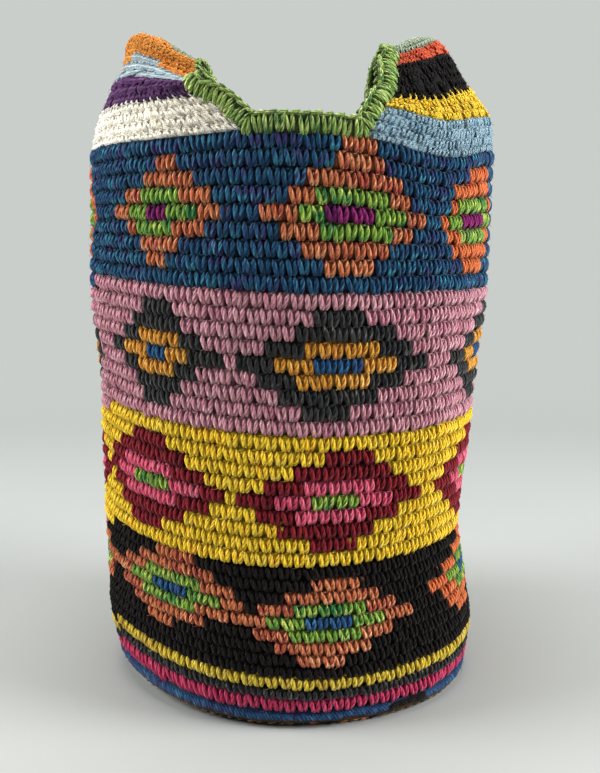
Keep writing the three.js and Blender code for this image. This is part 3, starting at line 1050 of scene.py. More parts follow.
@dataclass
class Stance:
    """How the standing bag leans and sags.

    Attributes:
        swells: Where the wall stands higher or lower.
        slumps: Where the ears have slumped.
        foot: Where the foot of the wall bulges.
        lean_height: Heights where the lean is known.
        lean: Shift to the right at each of them.
        flat: Radius of the base that stays flat, and the width over which it starts to sag.
        low: Height over which the wall starts to sag.
    """

    swells: tuple[Swell, ...] = SWELLS
    slumps: tuple[Slump, ...] = ()
    foot: Slump = Slump((74.0, -64.0, 2.0), (52.0, 52.0, 26.0), (3.5, -1.0, 0.0))
    lean_height: tuple[float, ...] = (0.0, 31.0, 86.0, 152.0, 220.0, 289.0)
    lean: tuple[float, ...] = (2.0, 1.5, -3.4, -0.3, 0.3, 1.85)
    flat: tuple[float, float] = (30.0, 60.0)
    low: float = 40.0

    def slump(self, points: Array) -> Array:
        """Slump points of the ears' plain form.

        Args:
            points: Places on the plain form.

        Returns:
            Places on the slumped ears.
        """
        return points + sum(slump.shift(points) for slump in self.slumps)

    def stood(self, turn: Array, radius: Array, z: Array) -> Array:
        """Place on the standing bag.

        Args:
            turn: Place round the upright bag, in radians from the front towards the right.
            radius: Distance from its axis.
            z: Height over the floor.

        Returns:
            The place.
        """
        return self.settle(np.stack([radius * np.sin(turn), -radius * np.cos(turn), z], axis=-1))

    def settle(self, points: Array) -> Array:
        """Lean and sag points of the upright bag.

        Args:
            points: Places on the upright bag.

        Returns:
            Their places on the standing bag.
        """
        x, y, z = points[..., 0], points[..., 1], points[..., 2]
        turn = np.degrees(np.arctan2(x, -y))
        past = (np.hypot(x, y) - self.flat[0]) / self.flat[1]
        spread = np.clip(np.maximum(past, z / self.low), 0.0, 1.0)
        lift = spread * sum(swell.lift(turn, z) for swell in self.swells)
        shift = np.interp(z, self.lean_height, self.lean)
        return np.stack([x + shift, y, z + lift], axis=-1) + self.foot.shift(points)


@dataclass(frozen=True)
class Diamond:
    """One nested diamond.

    Attributes:
        centre: Its middle, from the front towards the right, in degrees.
        size: Its width against the band's usual one.
        raised: Rounds that it was worked over the band's middle.
        outer: Yarn of its outer ring, where it isn't the band's usual one.
        tip: Half width of a round over the usual ones, in stitches.
        shape: Half widths of each ring, from the middle round out, where they aren't the band's.
        aside: Stitches that its outer ring lies to the right of the rest.
    """

    centre: float
    size: float = 1.0
    raised: int = 0
    outer: Shade | None = None
    tip: float = 0.0
    shape: tuple[tuple[float, ...], ...] | None = None
    aside: float = 0.0


@dataclass(frozen=True)
class Motif:
    """A row of nested diamonds in one band.

    Attributes:
        ground: Yarn of the band.
        rings: Yarns of the diamond from its outer ring in.
        diamonds: The diamonds.
        halves: Half widths of the outer ring in stitches, from the middle round out.
        lean: Shift of each round to the right over the one under it, in stitches.
        INNER: Half widths of the inner rings.
    """

    ground: Shade
    rings: tuple[Shade, Shade, Shade]
    diamonds: tuple[Diamond, ...]
    halves: tuple[float, ...] = (7.8, 6.0, 4.0, 1.98)
    lean: float = 0.17

    INNER = ((4.9, 3.0), (2.0,))

    def worked(self, turn: Array, rounds: Array, stitch: float) -> Array:
        """Yarn of each stitch.

        Args:
            turn: Place round the bag, in radians from the front.
            rounds: Rounds over the band's middle round.
            stitch: Width of a stitch, in radians.

        Returns:
            Yarn of each stitch.
        """
        yarn = np.full(np.shape(turn), int(self.ground))
        for diamond in self.diamonds:
            off = (turn - math.radians(diamond.centre) + np.pi) % (2.0 * np.pi) - np.pi
            place = off / stitch - self.lean * rounds
            row = np.minimum(np.abs(np.rint(rounds - diamond.raised)), 8.0).astype(int)
            rings = (diamond.outer or self.rings[0], *self.rings[1:])
            shape = diamond.shape or (self.halves, *self.INNER)
            for ring, halves, aside in zip(rings, shape, (diamond.aside, 0.0, 0.0)):
                reach = diamond.size * np.array(halves + (0.0,) * 9)[row]
                yarn = np.where(np.abs(place - aside) < reach, int(ring), yarn)
            over = np.rint(rounds - diamond.raised) == len(self.halves)
            yarn = np.where(over & (np.abs(place) < diamond.size * diamond.tip), int(rings[0]), yarn)
        return yarn


@dataclass(frozen=True)
class Section:
    """One yarn section of the bucket.

    Attributes:
        node: Solid that it stands for.
        slot: Name of a material slot; not used.
        rounds: Rounds worked in it.
        stitches: Stitches in each round.
        ground: Its yarn.
        motif: Its diamonds, if it has any.
        reach: Foot and height of its stitches where they are longer than a round.
    """

    node: str
    slot: str
    rounds: int
    stitches: int
    ground: Shade
    motif: Motif | None = None
    reach: tuple[float, float] | None = None


# Half widths of the rings of a slim diamond and of one with short arms.
SLIM = ((5.9, 4.25, 2.45, 1.3), (3.5, 1.95), (1.15,))
SHORT = ((5.2, 4.4, 3.4, 1.9), (4.3, 2.7), (2.0,))
BLACK_BAND = Motif(
    Shade.BLACK, (Shade.RUST, Shade.GREEN, Shade.AZURE),
    (Diamond(-37.5, raised=1), Diamond(12.8), Diamond(72.0, raised=1, outer=Shade.EMBER), Diamond(122.0),
     Diamond(172.0), Diamond(222.0), Diamond(272.0, raised=1)), lean=0.36)
YELLOW_BAND = Motif(
    Shade.YELLOW, (Shade.BURGUNDY, Shade.ROSE, Shade.GREEN),
    (Diamond(-42.0), Diamond(14.8), Diamond(74.0), Diamond(122.0), Diamond(170.0),
     Diamond(218.0), Diamond(268.0)))
PINK_BAND = Motif(
    Shade.PINK, (Shade.CHARCOAL, Shade.GOLD, Shade.AZURE),
    (Diamond(-36.6, shape=SLIM, aside=0.2), Diamond(12.4), Diamond(75.0), Diamond(119.0), Diamond(171.0),
     Diamond(223.0), Diamond(275.0, 0.8)))
BLUE_BAND = Motif(
    Shade.BLUE, (Shade.RUST, Shade.GREEN, Shade.MAGENTA),
    (Diamond(-35.0, shape=SLIM, aside=0.4), Diamond(15.6, tip=1.2, aside=-0.3),
     Diamond(58.3, outer=Shade.EMBER, shape=SHORT), Diamond(101.0), Diamond(144.0),
     Diamond(187.0, tip=1.2), Diamond(230.0), Diamond(280.0, 0.8, outer=Shade.EMBER)),
    halves=(6.8, 5.4, 3.8, 2.0), lean=0.1)

SECTIONS = (
    Section("rim_blue", "blue_yarn", 1, 105, Shade.NAVY),
    Section("rim_magenta", "magenta_yarn", 1, 105, Shade.CERISE, reach=(-0.28, 1.36)),
    Section("rim_charcoal", "charcoal_yarn", 1, 105, Shade.CHARCOAL),
    Section("rim_yellow", "yellow_yarn", 1, 105, Shade.STRAW, reach=(-0.16, 1.24)),
    Section("band_black", "black_yarn", 9, 105, Shade.BLACK, BLACK_BAND),
    Section("band_yellow", "yellow_yarn", 9, 105, Shade.YELLOW, YELLOW_BAND),
    Section("band_pink", "pink_yarn", 9, 110, Shade.PINK, PINK_BAND),
    Section("band_blue", "blue_yarn", 9, 116, Shade.BLUE, BLUE_BAND),
)


@dataclass
class Bucket:
    """The round bag itself, worked upwards in a spiral.

    Attributes:
        stance: How it leans and sags.
        crochet: Strands of its stitches.
        fabric: Thickness of the fabric.
        seam: Clearance of the solids where a section ends.
        jog: Where a round ends and the next starts, in radians from the front.
        radii: Outer radius at the base, over the rim and over each band.
        lean: Shift of each round over the one under it, in stitches.
        join: Where the lowest round was joined with a dark yarn, in radians from the front.
        loose: How uneven its stitches are, against the usual.
        WOBBLE: Waves of the wall: their height, how many go round, how they turn over 1 mm of
            height, and where they start.
        EVEN: Height up to which the wall has no waves, and the height over which they grow.
        CLIMBS: Angles from the jog on, each with the climb of a round there.
        SUNK: How far the stitches of the lowest round, of round 31 and of the last stand up.
        CREST: Distance of the backing's crests out of the outer face, outside and inside.
        GROOVE: Distance of its grooves, outside.
        KNOB: How far every other stitch stands out of its crests, inside.
        LIGHT: Painted light of the backing's crests and grooves, outside and inside; the grooves carry
            painted shade.
    """

    stance: Stance
    crochet: Crochet
    fabric: float = 5.0
    seam: float = 0.3
    jog: float = math.radians(-65.0)
    radii: tuple[float, ...] = (101.0, 105.0, 102.0, 105.3, 111.0, 110.0)
    lean: float = 0.3
    join: tuple[float, float] = (math.radians(28.0), math.radians(40.0))
    loose: float = 1.35

    WOBBLE = ((0.55, 5.0, 0.021, 1.3), (0.45, 9.0, -0.033, 0.0))
    EVEN = (8.0, 30.0)
    CLIMBS = ((0.0, 0.55), (0.5, 0.32), (1.2, -0.04), (2.4, -0.12), (6.3, -0.45))
    SUNK = (-0.14, -0.14, 0.10)
    CREST = (-1.0, -5.5)
    GROOVE = -3.1
    KNOB = -0.6
    LIGHT = ((0.6, 0.05), (0.8, 0.45))

    def __post_init__(self) -> None:
        """Work out the rounds' heights from the solids."""
        feet = [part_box(section.node)[0][2] / MM for section in SECTIONS]
        self.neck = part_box(SECTIONS[-1].node)[1][2] / MM + self.seam
        feet.append(self.neck)
        first = np.cumsum([0] + [section.rounds for section in SECTIONS])
        self.first = [int(value) for value in first]
        self.rounds = self.first[-1]
        self.round_foot = np.interp(np.arange(self.rounds + 1), first, feet)
        self.knots = np.array([feet[0], *feet[4:]])

    def radius(self, z: Array) -> Array:
        """Outer radius.

        Args:
            z: Height over the floor.

        Returns:
            The radius there.
        """
        index = np.clip(np.searchsorted(self.knots, z, side="right") - 1, 0, len(self.knots) - 2)
        share = (z - self.knots[index]) / (self.knots[index + 1] - self.knots[index])
        share = np.clip(share, 0.0, 1.0)
        ease = share * share * (3.0 - 2.0 * share)
        radii = np.array(self.radii)
        return radii[index] + (radii[index + 1] - radii[index]) * ease

    def climb(self, turn: Array, rise: Array) -> Array:
        """How far a round has climbed at a place, in rounds, against its place at the front.

        Args:
            turn: Place round the bag, from the jog on.
            rise: Rounds over the base.

        Returns:
            The climb.
        """
        from_jog = turn - self.jog
        spread = np.interp(rise, [0.0, 2.0, self.rounds - 9.0, self.rounds - 1.0], [0.0, 1.0, 1.0, 0.0])
        return spread * np.interp(from_jog, *zip(*self.CLIMBS))

    def point(self, turn: Array, rise: Array, out: Array) -> Array:
        """Place on the bucket.

        Args:
            turn: Place round the bag, in radians from the front towards the right.
            rise: Rounds over the base.
            out: Distance out of the outer face.

        Returns:
            The place.
        """
        from_jog = self.jog + (turn - self.jog) % (2.0 * np.pi)
        z = self.height(rise + self.climb(from_jog, rise))
        wobble = sum(high * np.sin(waves * turn + drift * z + start)
                     for high, waves, drift, start in self.WOBBLE)
        waved = np.clip((z - self.EVEN[0]) / self.EVEN[1], 0.0, 1.0)
        radius = self.radius(z) + wobble * waved + out
        return self.stance.stood(turn, radius, z + 0.0 * out)

    def height(self, rise: Array) -> Array:
        """Height over the floor, which runs on past both ends.

        Args:
            rise: Rounds over the base.

        Returns:
            The height.
        """
        count = np.arange(self.rounds + 1)
        inside = np.interp(rise, count, self.round_foot)
        step = self.round_foot[1] - self.round_foot[0]
        top = self.round_foot[-1] - self.round_foot[-2]
        return inside + np.minimum(rise, 0.0) * step + np.maximum(rise - self.rounds, 0.0) * top

    def build(self, rack: YarnRack) -> None:
        """Make one piece for each yarn section.

        Args:
            rack: Where the yarns come from.
        """
        for number, section in enumerate(SECTIONS):
            self._section(number, section, rack)

    def _section(self, number: int, section: Section, rack: YarnRack) -> None:
        """Make one yarn section.

        Args:
            number: Its number from the base up.
            section: The section.
            rack: Where the yarns come from.
        """
        piece = Fabric(f"crochet_{section.node}")
        low = self.first[number]
        stitch = 2.0 * np.pi / section.stitches
        rows = low + np.arange(section.rounds)
        row = np.repeat(rows, section.stitches)
        index = np.tile(np.arange(section.stitches), section.rounds)
        turn = self.jog + ((index + 0.5 + self.lean * row) % section.stitches) * stitch
        yarn = self._yarn(section, turn, row - low, stitch)
        foot = row + np.interp(row, [0.0, 31.0, self.rounds], self.SUNK)
        tall = 1.0
        if number == 0:
            yarn = self._rim(piece, turn, stitch, yarn)
        if section.reach:
            foot, tall = row + section.reach[0], section.reach[1]
        places = Stitches.placed(turn, foot, stitch, tall, yarn, number, self.loose)
        for strand in [self.crochet.tuft] if number == 0 else self.crochet.stitch():
            piece.lay(strand, self.point, places)
        piece.fuzz(self.crochet.wisps, self.point, places)
        self._backing(piece, section, low, stitch)
        piece.make(rack, [section.node])

    def _rim(self, piece: Fabric, turn: Array, stitch: float, yarn: Array) -> Array:
        """Lay the cord that turns the base up into the wall.

        Args:
            piece: The lowest round's piece.
            turn: Place of each stitch round the bag.
            stitch: Width of a stitch.
            yarn: Yarn of each stitch.

        Returns:
            The yarns of the stitches over the cord.
        """
        low, high = self.join
        yarn = np.where((turn > low) & (turn < high), int(Shade.BLACK), yarn)
        cord = Stitches.placed(turn, np.full(len(turn), -0.05), stitch, 1.0, yarn, Seed.CORD)
        piece.lay(self.crochet.cord, self.point, cord)
        return yarn

    @staticmethod
    def _yarn(section: Section, turn: Array, row: Array, stitch: float) -> Array:
        """Yarn of each stitch of a section.

        Args:
            section: The section.
            turn: Place of each stitch round the bag.
            row: Round of each stitch, from the section's first.
            stitch: Width of a stitch.

        Returns:
            The yarns.
        """
        if section.motif is None:
            return np.full(np.shape(turn), int(section.ground))
        return section.motif.worked(turn, row - (section.rounds - 1) / 2.0, stitch)

    def _backing(self, piece: Fabric, section: Section, low: int, stitch: float) -> None:
        """Add the fabric under a section's strands.

        Args:
            piece: The piece.
            section: The section.
            low: Its first round.
            stitch: Width of a stitch.
        """
        columns = 2 * section.stitches
        turn = self.jog + np.arange(columns) * stitch / 2.0
        up = np.arange(2 * section.rounds + 1) / 2.0
        high = up[-1] - 0.02
        rise = np.concatenate([np.minimum(up, high), np.minimum(up[::-1], high)])
        outside = np.arange(len(rise)) < len(up)
        crest = np.isclose(rise % 1.0, 0.5)
        faces = [np.where(crest, self.CREST[0], self.GROOVE), np.where(crest, self.CREST[1], -self.fabric)]
        out = np.where(outside, *faces)
        knob = np.where(~outside & crest, self.KNOB, 0.0) * (np.arange(columns) % 2)[:, None]
        grid = self.point(turn[:, None] + 0.0 * rise, low + rise + 0.0 * turn[:, None], out + knob)
        middle = (rise + np.roll(rise, -1)) / 2.0
        row = np.clip(np.floor(middle), 0, section.rounds - 1)
        middles = turn[:, None] + stitch / 4.0 + 0.0 * row
        shade = self._yarn(section, middles, row + 0.0 * turn[:, None], stitch)
        # Painted shade between the stitches: the backing's grooves are painted near their darkest.
        depth = np.where(outside, *(np.where(crest, *light) for light in self.LIGHT))
        piece.backing(grid, shade, depth, closed=True)


@dataclass
class Base:
    """Flat round base, worked in rounds from its middle.

    Attributes:
        bucket: The bucket that stands on it.
        crochet: Strands of its stitches.
        round_width: Width of one round.
        stitch: Width of a stitch.
        ring: Radius of the ring that it starts from.
        lift: Height of the stitches' outer face over the floor.
        margin: Distance of the last round from the edge.
        inset: Distance of the edge's chain from the edge.
        lean: Shift of each round over the one inside it, in stitches.
        MIXED: Yarns of the edge's chain.
        WAVES: Waves that choose among them: their height, how many go round and where they start.
    """

    bucket: Bucket
    crochet: Crochet
    round_width: float = 6.6
    stitch: float = 5.4
    ring: float = 2.0
    lift: float = 0.9
    margin: float = 3.0
    inset: float = 2.5
    lean: float = 0.31

    MIXED = (Shade.TAN, Shade.CHARCOAL, Shade.TAN, Shade.TAN, Shade.CHARCOAL, Shade.RUST)
    WAVES = ((1.0, 3.0, 0.6), (0.8, 7.0, 0.0), (0.5, 23.0, 0.0))

    def __post_init__(self) -> None:
        """Take the base's size from its solid."""
        low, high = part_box("base_disc")
        self.radius = (high[0] - low[0]) / 2.0 / MM
        self.top = high[2] / MM

    def under(self, turn: Array, radius: Array, out: Array) -> Array:
        """Place on the underside.

        Args:
            turn: Place round the base.
            radius: Distance from its middle.
            out: Distance down out of the outer face.

        Returns:
            The place.
        """
        return self.bucket.stance.stood(turn, radius, self.lift - out + 0.0 * turn)

    def side(self, turn: Array, rise: Array, out: Array) -> Array:
        """Place on the base's edge.

        Args:
            turn: Place round the bag, in radians from the front towards the right.
            rise: From 0 at the floor to 1 at its top.
            out: Distance out of the edge.

        Returns:
            The place.
        """
        return self.bucket.stance.stood(turn, self.radius - self.inset + out, rise * self.top - 0.3)

    def build(self, rack: YarnRack) -> None:
        """Make the base.

        Args:
            rack: Where the yarns come from.
        """
        piece = Fabric("crochet_base")
        wide = self.radius - self.margin - self.ring
        count = int(wide / self.round_width)
        step = wide / count
        for k in range(count):
            inner = self.ring + k * step
            stitches = max(6, round(2.0 * np.pi * (inner + step / 2.0) / self.stitch))
            width = 2.0 * np.pi / stitches
            turn = (np.arange(stitches) + self.lean * k) * width
            places = Stitches.placed(turn, np.full(stitches, inner), width, step, Shade.TAN, Seed.BASE + k)
            places.nudge[:, 2] = -np.abs(places.nudge[:, 2])
            for strand in self.crochet.bare():
                piece.lay(strand, self.under, places)
        around = round(2.0 * np.pi * self.radius / self.stitch)
        turn = np.arange(around) * 2.0 * np.pi / around
        wave = sum(high * np.sin(waves * turn + start) for high, waves, start in self.WAVES)
        most = sum(high for high, _, _ in self.WAVES)
        share = (wave + most) / (2.0 * most + 0.01)
        yarn = np.array(self.MIXED)[np.floor(share * len(self.MIXED)).astype(int)]
        edge = Stitches.placed(turn, np.zeros(around), 2.0 * np.pi / around, 0.9, yarn, Seed.BASE_EDGE)
        piece.lay(self.crochet.chain, self.side, edge)
        self._backing(piece)
        piece.make(rack, ["base_disc"])

    def _backing(self, piece: Fabric) -> None:
        """Add the fabric over the underside's strands.

        Args:
            piece: The base.
        """
        columns, count = 120, 31
        turn = np.arange(columns) * 2.0 * np.pi / columns
        rings = np.linspace(self.ring * 0.4, self.radius - 1.5, count)
        wave = np.where(np.arange(count) % 2 == 0, 0.0, 0.5)
        radius = np.concatenate([rings, rings[::-1]])
        out = np.concatenate([np.full(count, -1.9), self.lift - self.top + wave[::-1]])
        grid = self.under(*np.broadcast_arrays(turn[:, None], radius, out))
        # Painted shade: the face between the underside's strands is painted at its darkest, the face inside
        # the bag half dark or more.
        depth = np.concatenate([np.zeros(count), 0.5 + 0.5 * wave[::-1]])
        shade = np.full((columns, len(radius)), int(Shade.TAN))
        piece.backing(grid, shade, depth, closed=True)


@dataclass(frozen=True)
class Station:
    """One station along the strap's middle line.

    Attributes:
        place: Where the middle lies.
        turned: Its yaw about Z, the roll that lowers its front edge and its inward tilt, in degrees.
        curl: Radius that it is rounded to across its width.
        bow: How far both edges are moved along +X.
        front: Width from the middle line to the front edge.
        back: Width from the middle line to the back edge.
    """

    place: Spot
    turned: Spot
    curl: float
    bow: float
    front: float
    back: float

    def values(self) -> list[float]:
        """All its values in one row."""
        return [*self.place, *self.turned, self.curl, self.bow, self.front, self.back]


@dataclass(frozen=True)
class Stripe:
    """One yarn section of the strap.

    Attributes:
        node: Solid that it stands for.
        slot: Name of a material slot; not used.
        shade: Its yarn.
        start: Station where it starts.
        end: Station where it ends.
        rounds: Rounds worked in it.
        downward: Whether its rounds are worked towards the left end.
        lit: Gain on its stitches' painted light: under 1 they are painted darker, over 1 painted lighter.
        spikes: Whether its upper stitches reach into the next stripe.
        arch: Shares of the width, each with the station that the yarn over it comes down to.
        over: The yarn over it.
        hidden: Whether it hangs out of sight.
    """

    node: str
    slot: str
    shade: Shade
    start: float
    end: float
    rounds: int
    downward: bool = False
    lit: float = 1.0
    spikes: bool = False
    arch: tuple[tuple[float, float], ...] = ()
    over: Shade | None = None
    hidden: bool = False

    def yarn(self, share: Array, u: Array) -> Array:
        """Yarn of each stitch.

        Args:
            share: Place across the strap, from -1 at the back edge to 1 at the front edge.
            u: Stations from the left end.

        Returns:
            The yarns.
        """
        if self.over is None:
            return np.full(np.shape(share), int(self.shade))
        shares, stations = zip(*self.arch)
        return np.where(u > np.interp(share, shares, stations), int(self.over), int(self.shade))


SKY_ARCH = ((-1.0, 3.1), (-0.4, 2.6), (0.0, 2.50), (0.18, 3.05), (0.45, 3.05), (0.62, 2.75), (1.0, 2.75))
STRIPES = (
    # lit paints the white stripe lighter than its yarn and the black one darker.
    Stripe("left_ear_white", "ecru_yarn", Shade.ECRU, 0.0, 1.0, 4, lit=1.45, spikes=True),
    Stripe("left_ear_purple", "purple_yarn", Shade.PURPLE, 1.0, 2.0, 3, lit=1.15),
    Stripe("left_ear_sky", "sky_yarn", Shade.MIST, 2.0, 3.1, 3, arch=SKY_ARCH, over=Shade.ORANGE),
    Stripe("left_ear_orange", "orange_yarn", Shade.ORANGE, 3.1, 4.4, 5),
    Stripe("strap_middle", "sage_yarn", Shade.SAGE, 4.4, 16.4, 42, hidden=True),
    Stripe("right_ear_coral", "coral_yarn", Shade.CORAL, 16.4, 17.0, 3, True),
    Stripe("right_ear_black", "black_yarn", Shade.BLACK, 17.0, 18.0, 5, True, 0.4),
    Stripe("right_ear_yellow", "yellow_yarn", Shade.YELLOW, 18.0, 19.0, 3, True, spikes=True),
    Stripe("right_ear_sky", "sky_yarn", Shade.SKY, 19.0, 20.0, 4, True),
)


@dataclass
class Strap:
    """Both ears and the strap between them.

    Attributes:
        bucket: The bucket that it rises from.
        crochet: Strands of its stitches.
        rise: Height of the folds over the neckline.
        hang: Depth of the strap's lowest point under the neckline.
        half: Half width of the strap inside.
        curl: Radius that it is rounded to across its width inside.
        left_foot: Widths of the left ear's foot to the front and the back.
        right_foot: Widths of the right ear's foot.
        stitch: Width of a stitch.
        loose: How uneven the ears' stitches are, against the usual.
        FRONT: Column of the stations' front widths.
        BACK: Column of their back widths.
        ACROSS: Columns of a stripe's backing.
        CREST: Distance of the backing's crests out of the outer face, outside and inside.
        GROOVE: Distance of its grooves.
    """

    bucket: Bucket
    crochet: Crochet
    rise: float = 61.7
    hang: float = 84.0
    half: float = 37.0
    curl: float = 260.0
    left_foot: tuple[float, float] = (152.0, 116.0)
    right_foot: tuple[float, float] = (138.8, 130.0)
    stitch: float = 5.2
    loose: float = 2.4

    FRONT = 8
    BACK = 9
    ACROSS = 37
    CREST = (-0.95, -5.4)
    GROOVE = (-1.4, -4.9)

    def __post_init__(self) -> None:
        """Set out the stations and where the ears have slumped."""
        self.stations = np.array([station.values() for station in self._stations()])
        self.last = len(self.stations) - 1
        self.bucket.stance.slumps = self._slumps()

    def _slumps(self) -> tuple[Slump, ...]:
        """Where the ears have slumped, as in the solids and a little more at the left fold.

        Returns:
            The slumps.
        """
        mouth, neck, rise = self.bucket.radii[-1], self.bucket.neck, self.rise
        return (
            Slump((39.0 - mouth, 0.0, neck + 0.92 * rise), (45.0, 50.0, 15.0), (-14.0, 0.0, 1.0)),
            Slump((30.0 - mouth, 35.0, neck + 0.79 * rise), (35.0, 30.0, 16.0), (-10.0, 0.0, 0.0)),
            Slump((65.0 - mouth, -72.0, neck + 0.98 * rise), (38.0, 38.0, 13.0), (0.0, 0.0, -14.0)),
            Slump((70.0 - mouth, -75.0, neck + 0.7 * rise), (24.0, 30.0, 14.0), (0.0, 0.0, -7.0)),
            Slump((mouth - 10.0, 0.0, neck + 0.66 * rise), (40.0, 60.0, 22.0), (-6.0, 0.0, 0.0)),
            Slump((mouth - 48.0, -75.0, neck + 0.74 * rise), (30.0, 35.0, 20.0), (-5.0, 0.0, 2.0)),
            Slump((mouth - 55.0, -72.0, neck + 1.05 * rise), (38.0, 40.0, 13.0), (0.0, 0.0, -8.0)),
        )

    def _stations(self) -> list[Station]:
        """Stations from the left foot over both folds to the right foot.

        Returns:
            The stations.
        """
        mouth, neck, half = self.bucket.radii[-1], self.bucket.neck, self.half

        def over(share: float) -> float:
            """Height over the neckline, as a share of the ears' rise."""
            return neck + share * self.rise

        def left(inset: float, y: float, share: float, turned: Spot, curl: float, *rest: float) -> Station:
            """Station of the left ear, from the mouth's side in."""
            return Station((inset - mouth, y, over(share)), turned, mouth + curl, *rest)

        def right(inset: float, y: float, share: float, turned: Spot, curl: float, *rest: float) -> Station:
            """Station of the right ear."""
            return Station((mouth - inset, y, over(share)), turned, mouth + curl, *rest)

        def hung(x: float, height: float, tilt: float) -> Station:
            """Station of the part that hangs inside."""
            return Station((x, 0.0, neck - self.hang + height), (0.0, 0.0, tilt), self.curl, 0.0, half, half)

        foot, end = self.left_foot, self.right_foot
        return [
            left(0.0, 0.0, 0.0, (0.0, 0.0, 0.0), 0.0, 0.0, *foot),
            left(6.0, 0.0, 0.308, (0.0, 0.0, 1.0), 1.0, 0.0, foot[0] - 28.0, foot[1] - 28.0),
            left(16.0, -6.0, 0.6, (4.0, 1.0, 14.0), 32.0, 7.0, foot[0] - 54.0, foot[1] - 46.0),
            left(34.0, -14.0, 0.822, (10.0, 2.0, 50.0), 20.0, 10.5, half + 30.0, half + 23.0),
            left(39.0, -18.0, 1.0, (14.0, 0.0, 90.0), 21.0, 14.0, half + 18.0, half + 14.0),
            left(55.0, -14.0, 0.903, (11.0, 1.0, 135.0), 40.0, 10.0, half + 12.0, half + 6.0),
            left(66.0, -10.0, 0.57, (6.0, 1.0, 165.0), 70.0, 5.0, half + 7.0, half + 2.0),
            left(69.0, -5.0, -0.02, (2.0, 0.0, 176.0), 110.0, 1.0, half + 3.0, half),
            hung(-38.0, 40.0, 165.0),
            hung(-22.0, 10.0, 128.0),
            hung(0.0, 0.0, 90.0),
            hung(22.0, 10.0, 52.0),
            hung(40.0, 40.0, 15.0),
            right(69.0, -3.0, -0.02, (-3.0, 0.0, 4.0), 110.0, 0.0, half + 4.0, half + 1.0),
            right(68.0, -6.0, 0.595, (-4.0, 2.0, 15.0), 70.0, -4.7, half + 12.0, half + 4.0),
            right(52.0, -7.0, 0.903, (-7.0, 1.0, 45.0), 70.0, -10.0, half + 17.0, half + 9.0),
            right(33.0, -6.0, 1.0, (-10.0, 1.0, 90.0), 70.0, -13.0, half + 26.0, half + 18.0),
            right(19.0, -2.0, 0.854, (-5.0, 2.0, 156.0), 8.0, -6.5, half + 43.0, half + 29.0),
            right(6.5, 0.0, 0.511, (0.0, 0.0, 172.0), -13.0, 0.0, end[0] - 28.8, end[1] - 42.0),
            right(0.0, 0.0, 0.284, (0.0, 0.0, 179.5), -5.0, 0.0, end[0] - 12.8, end[1] - 22.0),
            right(0.0, 0.0, 0.0, (0.0, 0.0, 180.0), 0.0, 0.0, *end),
        ]

    def at(self, u: Array) -> Array:
        """Values along the strap, on a cubic through the stations.

        Args:
            u: Stations from the left end.

        Returns:
            A row of values for each.
        """
        index = np.clip(np.floor(u), 0, self.last - 1).astype(int)
        t = (u - index)[..., None]
        a, b, c, d = (self.stations[np.clip(index + k, 0, self.last)] for k in (-1, 0, 1, 2))
        bend = (2.0 * a - 5.0 * b + 4.0 * c - d) * t * t
        turn = (3.0 * b - a - 3.0 * c + d) * t * t * t
        return 0.5 * (2.0 * b + (c - a) * t + bend + turn)

    def point(self, reach: Array, u: Array, out: Array) -> Array:
        """Place on the strap.

        Args:
            reach: Distance from the middle line towards the front edge.
            u: Stations from the left end.
            out: Distance out of the outer face.

        Returns:
            The place.
        """
        value = self.at(np.asarray(u, float))
        x, y, z, yaw, roll, tilt, curl, bow, front, back = np.moveaxis(value, -1, 0)
        yaw, roll, tilt = np.radians(yaw), np.radians(roll), np.radians(tilt)
        none = np.zeros_like(yaw)
        ahead = np.stack([np.cos(yaw), np.sin(yaw), none], axis=-1)
        inward = ahead * np.cos(tilt)[..., None] + np.stack([none, none, -np.sin(tilt)], axis=-1)
        side = np.stack([np.sin(yaw) * np.cos(roll), -np.cos(yaw) * np.cos(roll), -np.sin(roll)], axis=-1)
        inward = inward - side * np.sum(inward * side, axis=-1, keepdims=True)
        inward /= np.linalg.norm(inward, axis=-1, keepdims=True)
        share = np.where(reach < 0.0, reach / back, reach / front)
        angle = reach / curl
        sine, cosine = np.sin(angle)[..., None], np.cos(angle)[..., None]
        normal = inward * cosine - side * sine
        place = np.stack([x, y, z], axis=-1) + curl[..., None] * (inward * (1.0 - cosine) + side * sine)
        place = place + ahead * (bow * share * share)[..., None] - normal * np.asarray(out, float)[..., None]
        return self.bucket.stance.settle(self.bucket.stance.slump(place))

    def edge(self, share: Array, u: Array) -> Array:
        """Distance from the middle line.

        Args:
            share: Share of the width, from -1 at the back edge to 1 at the front edge.
            u: Stations from the left end.

        Returns:
            The distance.
        """
        value = self.at(np.asarray(u, float))
        return share * np.where(np.asarray(share) < 0.0, value[..., self.BACK], value[..., self.FRONT])

    def fan(self, front: float, back: float) -> Surface:
        """Surface on which a stitch follows the strap's taper.

        Args:
            front: Width of the stitch's round from the middle line to the front edge.
            back: Its width to the back edge.

        Returns:
            The surface.
        """
        def place(reach: Array, u: Array, out: Array) -> Array:
            """Place at a distance from the middle line in that round."""
            share = reach / np.where(reach < 0.0, back, front)
            return self.point(self.edge(share, u), u, out)

        return place

    def build(self, rack: YarnRack) -> None:
        """Make one piece for each stripe.

        Args:
            rack: Where the yarns come from.
        """
        for number, stripe in enumerate(STRIPES):
            self._stripe(number, stripe, rack)

